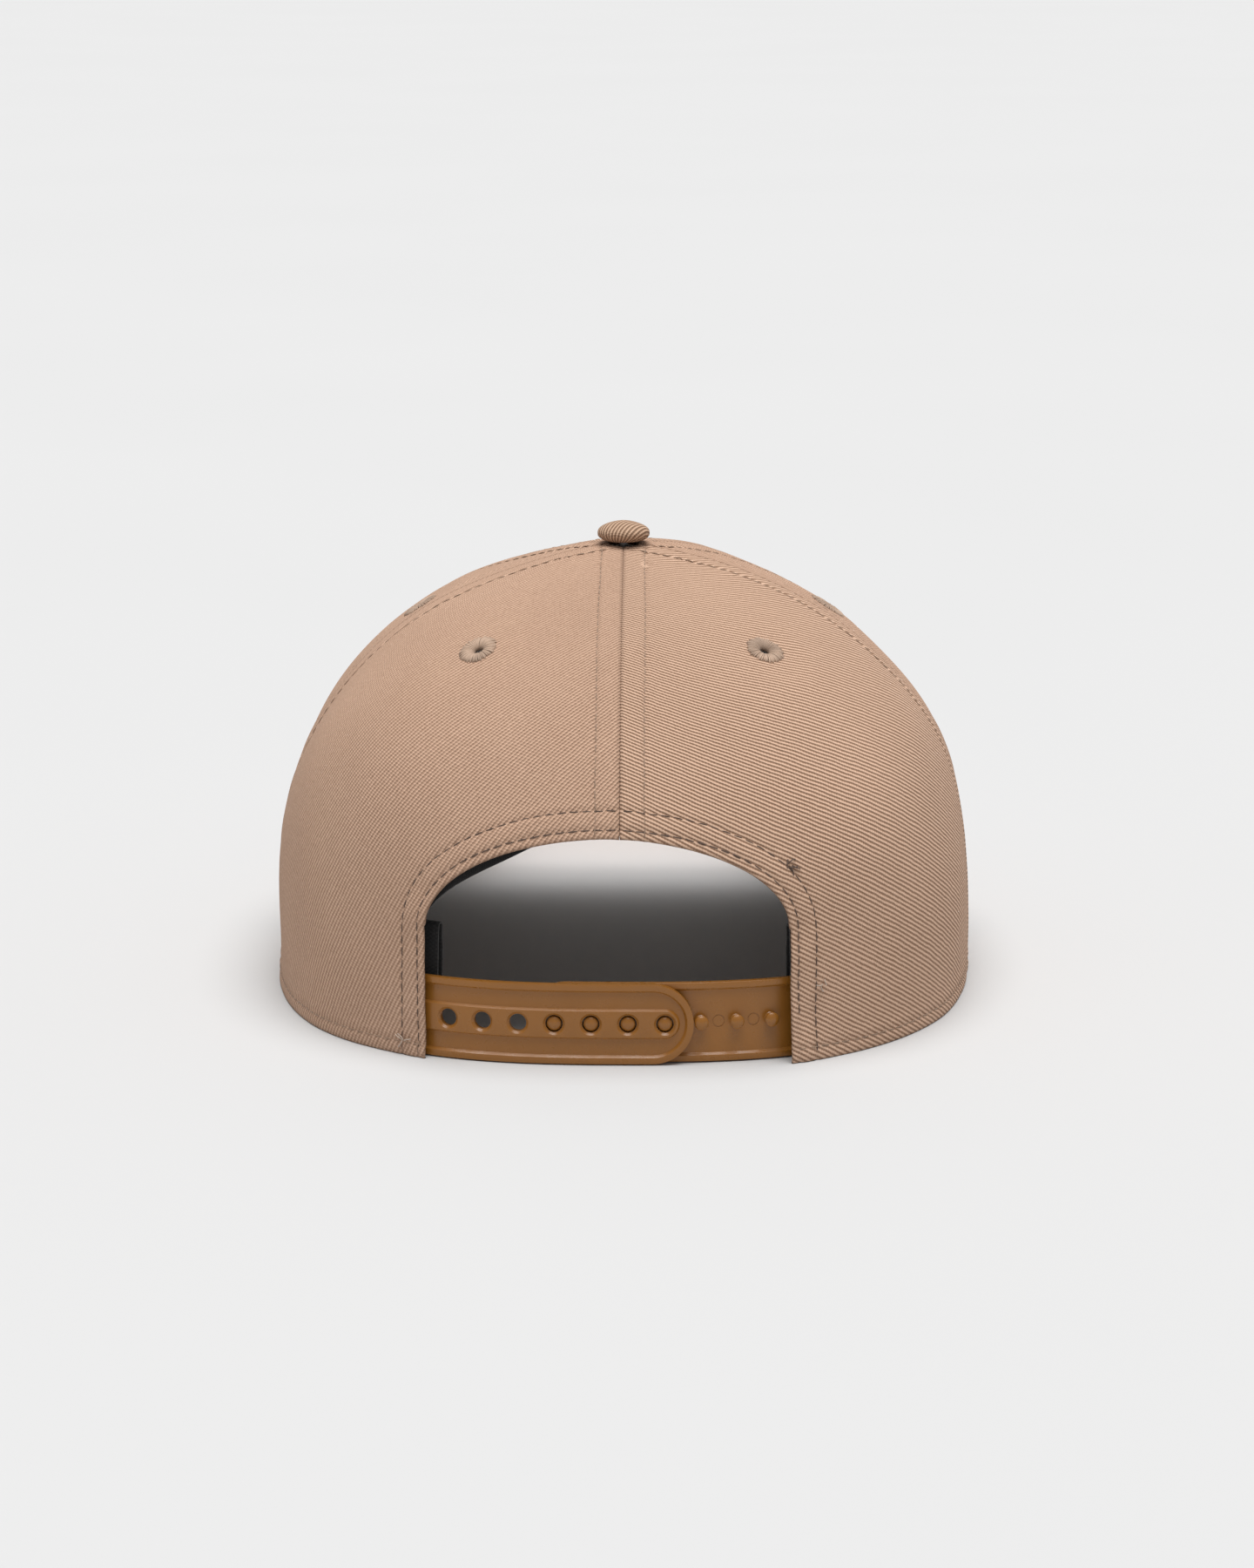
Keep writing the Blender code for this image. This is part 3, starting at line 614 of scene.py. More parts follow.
def twill(name, dark, light, contrast):
    """Cotton twill: steep wales made of short warp floats, uneven yarns, and a bloom of loose fibre."""
    cloth = Surface(name, 0.92, sheen=0.03, specular=0.15)
    across, along = cloth.weave()
    wander = cloth.noise(180.0, 2.0)
    drift = cloth.math("MULTIPLY", cloth.math("SUBTRACT", wander, 0.5), 0.55)
    # The wale's phase grows across its own direction, once for each wale
    one_way = cloth.math("MULTIPLY", across, sin(WALE_STEEP) / WALE)
    other_way = cloth.math("MULTIPLY", along, -cos(WALE_STEEP) / WALE)
    phase = cloth.math("ADD", cloth.math("ADD", one_way, other_way), drift)
    rib = cloth.cycle(phase, 0.75)
    # Along each wale the floats overlap like rope
    rope = cloth.math("MULTIPLY", along, 1 / FLOAT_LENGTH)
    strand = cloth.cycle(cloth.math("ADD", rope, cloth.math("MULTIPLY", phase, 0.5)))
    fuzz = cloth.noise(5200.0, 2.0)
    yarn = cloth.noise(1500.0, 2.0)
    blotch = cloth.noise(26.0, 3.0)
    height = rib
    for source, weight in ((strand, 0.28), (fuzz, 0.35)):
        height = cloth.math("ADD", height, cloth.math("MULTIPLY", source, weight))
    # Ridges and floats of the wales painted lighter and their hollows darker, as strongly as contrast says:
    # painted shade on the relief. The yarns' and blotches' tones are the cloth's own.
    lit = cloth.math("MULTIPLY_ADD", rib, 0.62 * contrast, 0.5 - 0.31 * contrast)
    for source, weight in ((strand, 0.22), (yarn, 0.70), (blotch, 0.24)):
        lit = cloth.math("ADD", lit, cloth.math("MULTIPLY_ADD", source, weight, -weight / 2))
    colour = cloth.blend(cloth.spread(lit, 0.0, 1.0), dark, light)
    # Painted shade along rows of stitching, in seams, under turned edges and under the button's rim, read
    # from a point attribute
    painted_shade = cloth.node("ShaderNodeAttribute", {}, "Fac", attribute_name="painted_shade")
    colour = cloth.blend(cloth.math("MULTIPLY", painted_shade, 0.5), colour, toned(dark, 0.42))
    return cloth.feed(colour, height=height, distance=0.00028, strength=0.9)


def thread(name, colour, depth=0.22):
    """Spun sewing thread: two plies twisted together, with painted shade in the grooves between the plies
    and at each end, where it dips into its needle holes.
    """
    spun = Surface(name, 0.62, sheen=0.1, specular=0.35)
    along, around = spun.weave()
    ply = spun.cycle(spun.math("ADD", spun.math("MULTIPLY", along, 5.0), spun.math("MULTIPLY", around, 2.0)))
    # The grooves between the plies are painted darker: painted shade
    tone = spun.blend(ply, toned(colour, 0.62), colour)
    worn = spun.spread(spun.noise(140.0, 2.0), 0.42, 0.62)
    tone = spun.blend(worn, toned(colour, 0.66), tone)
    # Each stitch's two ends are painted dark, as deep as depth says: painted shade of its needle holes
    end = spun.math("ABSOLUTE", spun.math("SUBTRACT", along, 0.5))
    tone = spun.blend(spun.spread(end, 0.30, 0.47), tone, toned(colour, depth))
    return spun.feed(tone, height=ply, distance=0.00005, strength=0.6)


def woven_tape(name, colour, rib=0.0006):
    """Close black tape or sweatband cloth, with a fine cross rib and some lint."""
    tape = Surface(name, 0.85, sheen=0.25, specular=0.2)
    across, along = tape.weave()
    weft = tape.math("SINE", tape.math("MULTIPLY", along, 2 * pi / rib))
    warp = tape.math("SINE", tape.math("MULTIPLY", across, 2 * pi / (rib * 1.6)))
    weave = tape.spread(tape.math("MULTIPLY", weft, warp), -1.0, 1.0)
    lint = tape.spread(tape.noise(900.0, 3.0), 0.62, 0.80)
    # The weave's crossings are painted lighter and the hollows between them darker: painted light and shade
    # on its relief
    tone = tape.blend(weave, toned(colour, 0.6), toned(colour, 1.5))
    tone = tape.blend(tape.math("MULTIPLY", lint, 0.10), tone, (0.30, 0.27, 0.24))
    return tape.feed(tone, height=weave, distance=0.00012, strength=0.7)


def moulded(name, colour, roughness):
    """Soft moulded plastic: a faint flow mottle, a fine satin grain and a few rubbed spots."""
    plastic = Surface(name, roughness)
    tone = plastic.blend(plastic.noise(35.0, 3.0), toned(colour, 0.86), toned(colour, 1.12))
    gloss = plastic.spread(plastic.noise(260.0, 3.0), 0.3, 0.7, roughness - 0.07, roughness + 0.08)
    grain = plastic.noise(3640.0, 2.0)
    return plastic.feed(tone, roughness=gloss, height=grain, distance=0.00003, strength=0.35)


def gauze(name, colour):
    """Stiffened open gauze: a square net of threads."""
    net = Surface(name, 0.8, specular=0.3)
    pitch = 0.0011
    lines = [net.math("COSINE", net.math("MULTIPLY", way, 2 * pi / pitch)) for way in net.weave()]
    grid = net.spread(net.math("MAXIMUM", *lines), -0.2, 0.95)
    tone = net.blend(grid, toned(colour, 0.42), colour)
    return net.feed(tone, height=grid, distance=0.0002, strength=0.8)


def plated_steel(name, colour):
    steel = Surface(name, 0.32, metallic=1.0)
    haze = steel.noise(420.0, 4.0)
    tone = steel.blend(haze, toned(colour, 0.8), colour)
    rough = steel.spread(haze, 0.3, 0.7, 0.24, 0.42)
    return steel.feed(tone, roughness=rough, height=steel.noise(1800.0, 2.0), distance=0.00002, strength=0.4)


TWILL = twill("twill", dark=(0.325, 0.188, 0.121), light=(0.69, 0.460, 0.329), contrast=0.95)
# A copy of the same twill with deeper painted wale shade and darker tones: painted shade for the rear panel
# whose wales lie across the light
TWILL_ACROSS_DEEPER_SHADE = twill("twill_across_deeper_shade", dark=(0.28, 0.161, 0.100), light=(0.71, 0.477, 0.343), contrast=1.8)
# A darker copy of the same twill with deeper painted wale shade: painted shade over the whole button cover
TWILL_BUTTON_SHADED = twill("twill_button_shaded", dark=(0.22, 0.125, 0.075), light=(0.62, 0.42, 0.29), contrast=1.7)
LINING = woven_tape("lining", (0.012, 0.011, 0.011))
TAN_THREAD = thread("tan_thread", (0.44, 0.295, 0.203), depth=0.34)
# Thread painted darker than the tan stitching: partly a darker thread, partly painted shade of the furrow it
# lies in
SHADE_DARKENED_THREAD = thread("shade_darkened_thread", (0.13, 0.080, 0.058))
PALE_THREAD = thread("pale_thread", (0.66, 0.52, 0.42))
BLACK_THREAD = thread("black_thread", (0.020, 0.018, 0.018))
BUCKRAM = gauze("buckram", (0.72, 0.72, 0.69))
SNAP_PLASTIC = moulded("snap_plastic", (0.30, 0.118, 0.017), 0.30)
SWEAT_CLOTH = woven_tape("sweat_cloth", (0.014, 0.013, 0.013), rib=0.0011)
EYELET_THREAD = thread("eyelet_thread", (0.56, 0.39, 0.28))
FOAM = moulded("foam", (0.03, 0.03, 0.03), 0.8)
BOARD_PLASTIC = moulded("board_plastic", (0.80, 0.80, 0.77), 0.5)
STEEL = plated_steel("plated_steel", (0.62, 0.61, 0.60))


# ---- Crown panels


def spread_columns(first, last, rise, count):
    """Azimuths of a row of points across a panel: close together near its two seams, for the stitching."""
    table = np.linspace(first, last, 48)
    across = arcs_along(surface(table, rise))
    width = across[-1]
    zone, dense = 0.0095, 18  # beside each seam, and the points across it
    even = np.linspace(SEAM_GAP, width - SEAM_GAP, count)
    near = np.linspace(SEAM_GAP, zone, dense)
    middle = np.linspace(zone, width - zone, count - 2 * dense + 2)[1:-1]
    close = np.concatenate([near, middle, width - near[::-1]])
    places = lerp(even, close, smooth((width - 2.3 * zone) / zone)) if width > 2.3 * zone else even
    return np.interp(places, across, table)


def row_shares(length, dense_length, dense_step, step):
    """Shares of a length, from 0 to 1: close together at first, then further apart."""
    near = np.arange(0, dense_length, dense_step)
    far = np.linspace(dense_length, length, max(2, ceil((length - dense_length) / step) + 1))
    return np.concatenate([near, far]) / length


def flat_across(azimuth, middle, rise):
    """Distance along the crown from a panel's middle line to each point, level with it."""
    before, total = surface(middle, rise), 0.0
    for share in np.linspace(0, 1, 9)[1:]:
        after = surface(lerp(middle, azimuth, share), rise)
        total = total + np.linalg.norm(after - before, axis=-1)
        before = after
    return total * np.sign(azimuth - middle)


def plain_panel(first, last, count):
    """(azimuths, arcs, faces) of a panel that runs from the rim to the top."""
    middle = (first + last) / 2
    low_middle = float(arc_at_height(rim_height(middle)))
    azimuths, arcs = [], []
    for share in row_shares(TOP_ARC - low_middle, 0.006, 0.0007, 0.0011):
        level = rise_at_arc(lerp(low_middle, TOP_ARC, share))
        row = spread_columns(first, last, level, count)
        low = arc_at_height(rim_height(row)) + EDGE
        azimuths.append(row)
        arcs.append(lerp(low, TOP_ARC, share))
    azimuths = np.array(azimuths)
    return azimuths, np.array(arcs), grid_faces(*azimuths.shape)


def azimuth_of_x(x, rise):
    """The azimuth near the back where the crown has this x, by Newton's steps."""
    azimuth = np.arcsin(np.clip(x / HALF_WIDTH, -0.9, 0.9))
    step = 1e-4
    for _ in range(12):
        here = surface(azimuth, rise)[..., 0]
        slope = (surface(azimuth + step, rise)[..., 0] - here) / step
        azimuth = azimuth + np.clip((x - here) / slope, -0.1, 0.1)
    return azimuth


def arch_outline(margin, foot=0.0):
    """(x, height) round the rear opening, grown by margin, from the wearer's left foot to the right one."""
    half = OPENING_HALF_WIDTH + margin
    top = OPENING_HEIGHT - OPENING_SIDE_HEIGHT + margin
    turns = np.linspace(0, pi / 2, 400)
    upright = np.linspace(foot, OPENING_SIDE_HEIGHT, 80, endpoint=False)
    x = np.concatenate([np.full(len(upright), half), half * np.cos(turns)])
    z = np.concatenate([upright, OPENING_SIDE_HEIGHT + top * np.sin(turns)])
    return np.concatenate([x, -x[-2::-1]]) + OPENING_SHIFT, np.concatenate([z, z[-2::-1]])


def arch_line():
    x, z = arch_outline(0.0)
    rise = rise_at_height(z)
    return resample(surface(azimuth_of_x(x, rise), rise), LINE_STEP)


def seam_line(azimuth, low_height):
    arcs = np.linspace(float(arc_at_height(low_height)), TOP_ARC, 300)
    return resample(surface(azimuth, rise_at_arc(arcs)), LINE_STEP)


def hem_line(first, last):
    return resample(surface(np.linspace(first, last, 200), 0.0), LINE_STEP)


def rear_panel(side):
    """(azimuths, arcs, faces) of a panel with half of the rear opening.

    Its lower rows start at the opening's upright edge, and the rows above bend up over the opening's curve.
    """
    inner, outer = 74, 92  # columns over the opening, and beside it
    x, z = arch_outline(EDGE)
    x, z = (x, z) if side > 0 else (-x[::-1], z[::-1])
    over = (z >= OPENING_SIDE_HEIGHT) & (x >= SEAM_GAP)
    rise = rise_at_height(z[over])
    curve = np.stack([azimuth_of_x(x[over], rise), arc_at_height(z[over])], -1)[::-1]
    along = arcs_along(surface(curve[:, 0], rise_at_arc(curve[:, 1])))
    places = np.linspace(0, along[-1], inner)[:-1]
    curve_azimuths = np.interp(places, along, curve[:, 0])
    curve_arcs = np.interp(places, along, curve[:, 1])
    corner_arc = curve[-1, 1]

    def beside(arc):
        level = rise_at_arc(arc)
        start = azimuth_of_x(OPENING_HALF_WIDTH + EDGE + side * OPENING_SHIFT, level)
        return spread_columns(float(start), SIDE_SEAM, level, outer)

    azimuths, arcs = [], []
    low_arcs = EDGE + (corner_arc - EDGE) * row_shares(corner_arc, 0.006, 0.0007, 0.0011)[:-1]
    for arc in low_arcs:
        row = beside(arc)
        azimuths.append(np.concatenate([np.full(inner - 1, row[0]), row]))
        arcs.append(np.full(inner - 1 + outer, arc))
    first_azimuths = np.concatenate([curve_azimuths, beside(corner_arc)])
    first_arcs = np.concatenate([curve_arcs, np.full(outer, corner_arc)])
    for share in row_shares(TOP_ARC - corner_arc, 0.013, 0.0007, 0.0012):
        level = rise_at_arc(lerp(first_arcs.mean(), TOP_ARC, share))
        spread = spread_columns(0.0, SIDE_SEAM, level, len(first_arcs))
        azimuths.append(lerp(first_azimuths, spread, smooth(share / 0.75)))
        arcs.append(lerp(first_arcs, TOP_ARC, share))
    azimuths, arcs = np.array(azimuths), np.array(arcs)
    faces = grid_faces(*azimuths.shape)
    row, column = np.divmod(faces.min(1), azimuths.shape[1])
    faces = faces[(row >= len(low_arcs)) | (column >= inner - 1)]
    if side < 0:  # mirrored, so its faces turn round
        azimuths, faces = -azimuths, faces[:, ::-1]
    return azimuths, arcs, faces


def turned_weave(flat, turn):
    """Flat places on a piece, turned so that its wales lean by this much more."""
    x, y = flat[:, 0], flat[:, 1]
    return np.stack([x * cos(turn) + y * sin(turn), y * cos(turn) - x * sin(turn)], -1)


def compact(faces, *arrays):
    """The faces, and each of the points' arrays, without the points that no face uses."""
    used, inverse = np.unique(faces, return_inverse=True)
    return inverse.reshape(faces.shape), *[array[used] for array in arrays]


ARCH = arch_line()


def add_panel(node, grid, middle, turn, edges, hole=None, material=TWILL):
    """One crown panel, from its (azimuths, arcs, faces). Returns its cloth, for the stitching."""
    azimuths, arcs, faces = grid
    faces, azimuth, arc = compact(faces, azimuths.ravel(), arcs.ravel())
    rise = rise_at_arc(arc)
    base = surface(azimuth, rise)
    height, painted_shade = sewn_relief(base, edges)
    height = height + SWELL * ripple(base, BROAD)
    if any(line is ARCH for line, _ in edges):  # the straps' pull puckers the cloth beside the opening
        near = np.exp(-((from_line(base, ARCH)[0] / PUCKER_REACH) ** 2))
        low = smooth((PUCKER_HEIGHT - base[:, 2]) / 0.012)
        height = height + PUCKER * near * low * ripple(base, PUCKERS)
    if hole is not None:  # the cloth lies flat where the eyelet is sewn
        height = height * smooth((np.linalg.norm(base - hole, axis=1) - 0.0055) / 0.009)
    points = base + outward(azimuth, rise) * height[:, None]
    uv = turned_weave(np.stack([-flat_across(azimuth, middle, rise), arc], -1), turn)
    cloth = Cloth(points, faces)
    points, faces, uv, painted_shade = turn_edges(points, faces, uv, painted_shade)
    if hole is not None:
        faces = faces[np.linalg.norm(points[faces].mean(1) - hole, axis=1) > EYELET_CUT]
        faces, points, uv, painted_shade = compact(faces, points, uv, painted_shade)
    obj = add_mesh(node + "_cloth", points, faces, material, uv, painted_shade)
    thicken(obj, CLOTH)
    finish_piece(obj, [node])
    declare_cloth(uv)
    return cloth


def eyelet_place(place, side):
    """(centre, outward normal) of an eyelet."""
    azimuth, rise = side * EYELET_AZIMUTHS[place], rise_at_height(EYELET_HEIGHT)
    return surface(azimuth, rise), outward(azimuth, rise)


def add_crown():
    sewn = []
    front_low = float(rim_height(FRONT_SEAM))
    for side, name in ((1, "left"), (-1, "right")):
        rear_seam = seam_line(0.0, OPENING_HEIGHT), (SEAM_ROW,)
        side_seam = seam_line(side * SIDE_SEAM, 0.0), (SEAM_ROW,)
        front_seam = seam_line(side * FRONT_SEAM, front_low), (SEAM_ROW,)
        edge_azimuth = float(azimuth_of_x(OPENING_SHIFT + side * OPENING_HALF_WIDTH, 0.0))
        hem = hem_line(edge_azimuth, side * (pi - VISOR_HALF_ANGLE - RIM_SPARE)), (HEM_ROW,)
        edges = [rear_seam, side_seam, (ARCH, ARCH_ROWS), hem]
        node, middle, turn = "rear_panel_" + name, side * SIDE_SEAM / 2, WALE_TURNS["rear_" + name]
        # The wearer's right rear panel takes the twill copy with deeper painted shade
        hole, material = eyelet_place("rear", side)[0], TWILL if side > 0 else TWILL_ACROSS_DEEPER_SHADE
        sewn.append((node, add_panel(node, rear_panel(side), middle, turn, edges, hole, material), edges))
        edges = [side_seam, front_seam, hem]
        first, last = sorted((side * SIDE_SEAM, side * FRONT_SEAM))
        node, middle, turn = "side_panel_" + name, (first + last) / 2, WALE_TURNS["side_" + name]
        hole = eyelet_place("side", side)[0]
        sewn.append((node, add_panel(node, plain_panel(first, last, 96), middle, turn, edges, hole), edges))
    first, last = FRONT_SEAM, 2 * pi - FRONT_SEAM
    edges = [(seam_line(azimuth, front_low), (SEAM_ROW,)) for azimuth in (first, last)]
    cloth = add_panel("front_panel", plain_panel(first, last, 120), pi, WALE_TURNS["front"], edges)
    sewn.append(("front_panel", cloth, edges))
    for node, cloth, edges in sewn:
        name = node.replace("_panel", "")
        lines = [(line, distance) for line, distances in edges for distance in distances]
        rows = [cloth.row(line, distance) for line, distance in lines if line is not ARCH]
        opening = [cloth.row(line, distance) for line, distance in lines if line is ARCH]
        add_stitches(f"stitches_{name}_panel", [row for row in rows if row is not None], TAN_THREAD)
        # The opening's rows lie in deep furrows, and their thread is painted darker for part of that shade
        if opening:
            add_stitches(f"stitches_{name}_opening", opening, SHADE_DARKENED_THREAD, OPENING_THREAD)


def add_loose_ends():
    """Knotted and cut thread ends that show on the back, at the ends of the hem's and the opening's rows."""
    shares = np.linspace(0, 1, 9)
    for name, degrees, height, reach, strands, material in (
        ("hem_left", 31.0, 0.0042, 0.0026, 4, PALE_THREAD),
        ("hem_right", -27.2, 0.0034, 0.0022, 3, PALE_THREAD),
        # the opening's loose end takes the same darkened thread
        ("opening_corner", -24.6, 0.0493, 0.0026, 5, SHADE_DARKENED_THREAD),
        ("opening_side", -29.0, 0.0195, 0.0020, 3, PALE_THREAD),
    ):
        azimuth, rise = radians(degrees), rise_at_height(height)
        centre, normal = surface(azimuth, rise), outward(azimuth, rise)
        right, upward = across_and_up(normal)
        ends = Threads(len(shares))
        for _ in range(strands):
            heading, bend = RANDOM.uniform(0, 2 * pi), RANDOM.uniform(-1.6, 1.6)
            turn = heading + bend * shares
            steps = (right * np.cos(turn)[:, None] + upward * np.sin(turn)[:, None]) * reach / len(shares)
            start = (right * RANDOM.normal() + upward * RANDOM.normal()) * 0.0004
            lift = 0.00035 + 0.0004 * np.sin(pi * shares) * RANDOM.uniform(0.3, 1.2)
            middle = centre + start + np.cumsum(steps, axis=0) + normal * lift[:, None]
            ends.add(middle, unit(np.cross(normal, steps)), normal, THREAD, 0.3 + 0.4 * shares)
        ends.finish("thread_ends_" + name, material)


# ---- Strips and shells inside the crown


def add_strip(node, ending, grid, material, uv, thickness):
    """A strip laid out on a grid of (azimuths, rises, depths), its face turned towards the head."""
    points = crown_point(*grid).reshape(-1, 3)
    faces = grid_faces(*grid[0].shape)[:, ::-1]
    obj = add_mesh(node + ending, points, faces, material, uv.reshape(-1, 2))
    thicken(obj, thickness)
    finish_piece(obj, [node])
    declare_cloth(uv)
    return Cloth(points, faces)


def per_metre(azimuth, rises):
    """Turn round the crown for each metre along it."""
    step = 1e-3
    return step / np.linalg.norm(surface(azimuth + step, rises) - surface(azimuth, rises), axis=-1)


def add_tape(node, seam, low_height):
    """A seam tape: its edges curl towards the wall, and the seam's own stitching comes through it."""
    low, high = float(arc_at_height(low_height)), TOP_ARC - 0.004
    arcs = np.linspace(low, high, ceil((high - low) / 0.0012))
    shares = np.linspace(-1, 1, 15)
    rises = rise_at_arc(arcs)
    radius = np.linalg.norm(surface(seam, rises)[:, :2], axis=1)
    half = np.minimum(TAPE_WIDTH / 2, 0.38 * radius)
    turning = per_metre(seam, rises)
    azimuths = seam + shares * (half * turning)[:, None]
    across, along = np.broadcast_arrays(shares * half[:, None], arcs[:, None])
    wave = ripple(surface(azimuths, rises[:, None]), FINE)
    edge = smooth((abs(shares) - 0.86) / 0.14)
    depths = LINING_DEPTH + TAPE + 0.00012 * wave - 0.00025 * edge + 0.00018 * np.cos(shares * pi)
    uv = np.stack([across, along], -1)
    grid = azimuths, rises[:, None] + 0 * azimuths, depths
    cloth = add_strip(node, "_cloth", grid, LINING, uv, TAPE - SHEET_GAP)
    rows = []
    for way in (-1, 1):
        azimuth = seam + way * np.minimum(SEAM_ROW, half * 0.8) * turning
        line = crown_point(azimuth, rises, np.full(len(arcs), LINING_DEPTH + TAPE))
        rows.append(cloth.near(resample(line, STITCH), STITCH_REACH))
    add_stitches("stitches_" + node, rows, TAN_THREAD)


def add_tapes():
    front_low = float(rim_height(FRONT_SEAM)) + 0.002
    add_tape("seam_tape_rear", 0.0, OPENING_HEIGHT + FACING_WIDTH + 0.002)
    for side, name in ((1, "left"), (-1, "right")):
        add_tape("seam_tape_side_" + name, side * SIDE_SEAM, 0.003)
        add_tape("seam_tape_front_" + name, side * FRONT_SEAM, front_low)


def add_facing():
    """The binding inside the rear opening's edge, with the two rows of stitching that hold it."""
    outer = arch_curve(FACING_WIDTH)
    held, sagging = (np.array(arch_curve(margin)) for margin in (FACING_MARGIN, FACING_MARGIN - FACING_SAG))
    round_arch = np.linspace(0, 1, held.shape[1])
    # It hangs slack below the arch on the wearer's left, where it shows
    slack = np.clip(1 - ((round_arch - SLACK_PLACE) / SLACK_REACH) ** 2, 0, 1)
    inner = lerp(held, sagging, slack)
    shares = np.concatenate([[0, 0.03], np.linspace(0.08, 0.92, 12), [0.97, 1]])
    azimuths = lerp(inner[0], outer[0], shares[:, None])
    rises = rise_at_arc(lerp(inner[1], outer[1], shares[:, None]))
    edge = smooth(abs(shares - 0.5) * 2 * 6 - 5)[:, None]
    places = surface(azimuths, rises)
    depths = LINING_DEPTH + TAPE + 0.00012 * ripple(places, FINE) - 0.0003 * edge
    along = arcs_along(places[len(shares) // 2])
    across, along = np.broadcast_arrays(shares[:, None] * FACING_WIDTH, along)
    uv = np.stack([across, along], -1)
    grid = azimuths, rises, depths
    cloth = add_strip("opening_facing", "_cloth", grid, LINING, uv, TAPE - SHEET_GAP)
    rows = []
    for distance in ARCH_ROWS:
        azimuth, arc = arch_curve(distance)
        line = crown_point(azimuth, rise_at_arc(arc), np.full(len(arc), LINING_DEPTH + TAPE))
        rows.append(cloth.near(resample(line, STITCH), STITCH_REACH))
    add_stitches("stitches_opening_facing", rows, TAN_THREAD)


def arch_curve(margin):
    """(azimuths, arcs) of points evenly spread along the opening's outline, grown by margin."""
    x, z = arch_outline(margin, foot=0.0005)
    rise = rise_at_height(z)
    azimuth = azimuth_of_x(x, rise)
    along = arcs_along(surface(azimuth, rise))
    at = np.linspace(0, along[-1], 300)
    return np.interp(at, along, azimuth), arc_at_height(np.interp(at, along, z))


def add_buckram():
    """The stiffened gauze behind the front panel, which shows above the sweatband."""
    columns, rows = 110, 120
    top = float(np.interp(rise_at_radius(0.0125), TABLE_RISES, TABLE_ARCS))
    middle_low = float(arc_at_height(rim_height(pi)))
    azimuths, arcs = [], []
    for share in np.linspace(0, 1, rows):
        level = rise_at_arc(lerp(middle_low, top, share))
        radius = np.linalg.norm(surface(FRONT_SEAM, level)[:2])
        swing = min(0.009, 0.5 * radius) * per_metre(FRONT_SEAM, level)
        row = np.linspace(FRONT_SEAM + swing, 2 * pi - FRONT_SEAM - swing, columns)
        azimuths.append(row)
        arcs.append(lerp(arc_at_height(rim_height(row) + 0.001), top, share))
    azimuths, arcs = np.array(azimuths), np.array(arcs)
    rises = rise_at_arc(arcs)
    places = surface(azimuths, rises)
    depths = LINING_DEPTH + BUCKRAM_SHEET + 0.00015 * ripple(places, BROAD)
    uv = np.stack([flat_across(azimuths, pi, rises), arcs], -1)
    grid = azimuths, rises, depths
    add_strip("front_buckram", "_gauze", grid, BUCKRAM, uv, BUCKRAM_SHEET - SHEET_GAP)


def add_sweatband():
    """A padded strip folded over at its top, quilted by the stitching along its fold and its foot."""
    first = float(azimuth_of_x(OPENING_SHIFT + OPENING_HALF_WIDTH, 0.0)) + radians(0.1)
    last = 2 * pi + float(azimuth_of_x(OPENING_SHIFT - OPENING_HALF_WIDTH, 0.0)) - radians(1.7)
    azimuths = np.linspace(first, last, 420)
    # Its section: up the wall, round the fold at its top, and down again on the head's side
    fold = SWEATBAND_FOLD / 2
    turns = np.linspace(0, pi, 9)[1:-1]
    straight = np.linspace(0.036, 0.97, 22)
    level = np.zeros(len(straight))
    shares = np.concatenate([straight, 0.97 + 0.03 * np.sin(turns), straight[::-1]])
    across = np.concatenate([level, fold * (1 - np.cos(turns)), level + 2 * fold])
    inner = np.concatenate([level, 0 * turns, level + 1])
    near = abs((azimuths + pi) % (2 * pi) - pi)
    behind_straps = 1 - smooth((near - radians(44)) / radians(16))
    wall = lerp(SWEATBAND_DEPTH, SWEATBAND_DEPTH_AT_STRAPS, behind_straps)
    azimuth, share = np.broadcast_arrays(azimuths, shares[:, None])
    rises = rise_at_height(rim_height(azimuths) + SWEATBAND_FOOT + SWEATBAND_HEIGHT * share)
    places = surface(azimuth, rises)
    pad = inner[:, None] * smooth((0.90 - share) / 0.1) * smooth((share - 0.10) / 0.1)
    relief = pad * (0.0005 + 0.0004 * ripple(places, BROAD) + 0.00012 * ripple(places, FINE))
    depths = wall + SWEATBAND_SHEET * 0.5 + across[:, None] + relief
    points = crown_point(azimuth, rises, depths)
    length = arcs_along(surface(azimuths, 0.0))
    down = arcs_along(points[:, 200])
    uv = np.stack(np.broadcast_arrays(length, down[:, None]), -1)
    faces = grid_faces(*azimuth.shape)
    obj = add_mesh("sweatband_cloth", points.reshape(-1, 3), faces, SWEAT_CLOTH, uv.reshape(-1, 2))
    thicken(obj, SWEATBAND_SHEET - 0.0002, offset=0)
    finish_piece(obj, ["sweatband"])
    declare_cloth(uv)
    cloth = Cloth(points.reshape(-1, 3), faces)
    rows = []
    for share in (0.93, 0.07):
        level = rise_at_height(rim_height(azimuths) + SWEATBAND_FOOT + SWEATBAND_HEIGHT * share)
        line = crown_point(azimuths, level, wall + SWEATBAND_SHEET * 0.5 + 2 * fold + 0.0004)
        rows.append(cloth.near(resample(line, SWEATBAND_STITCH), STITCH_REACH))
    add_stitches("stitches_sweatband", rows, BLACK_THREAD)


# ---- Snap straps


def strap_outline(root, tip, half, way):
    """(arc length, height) points: square at the root, round at the tip."""
    turns = np.linspace(0, pi, 41)
    x = tip - way * half + way * half * np.sin(turns)
    y = STRAP_MIDDLE + half * np.cos(turns)
    return [(root, STRAP_MIDDLE + half), *zip(x, y), (root, STRAP_MIDDLE - half)]


def disc_outline(x, radius):
    turns = np.radians(np.arange(0, 360, 9))
    return list(zip(x + radius * np.cos(turns), STRAP_MIDDLE + radius * np.sin(turns)))


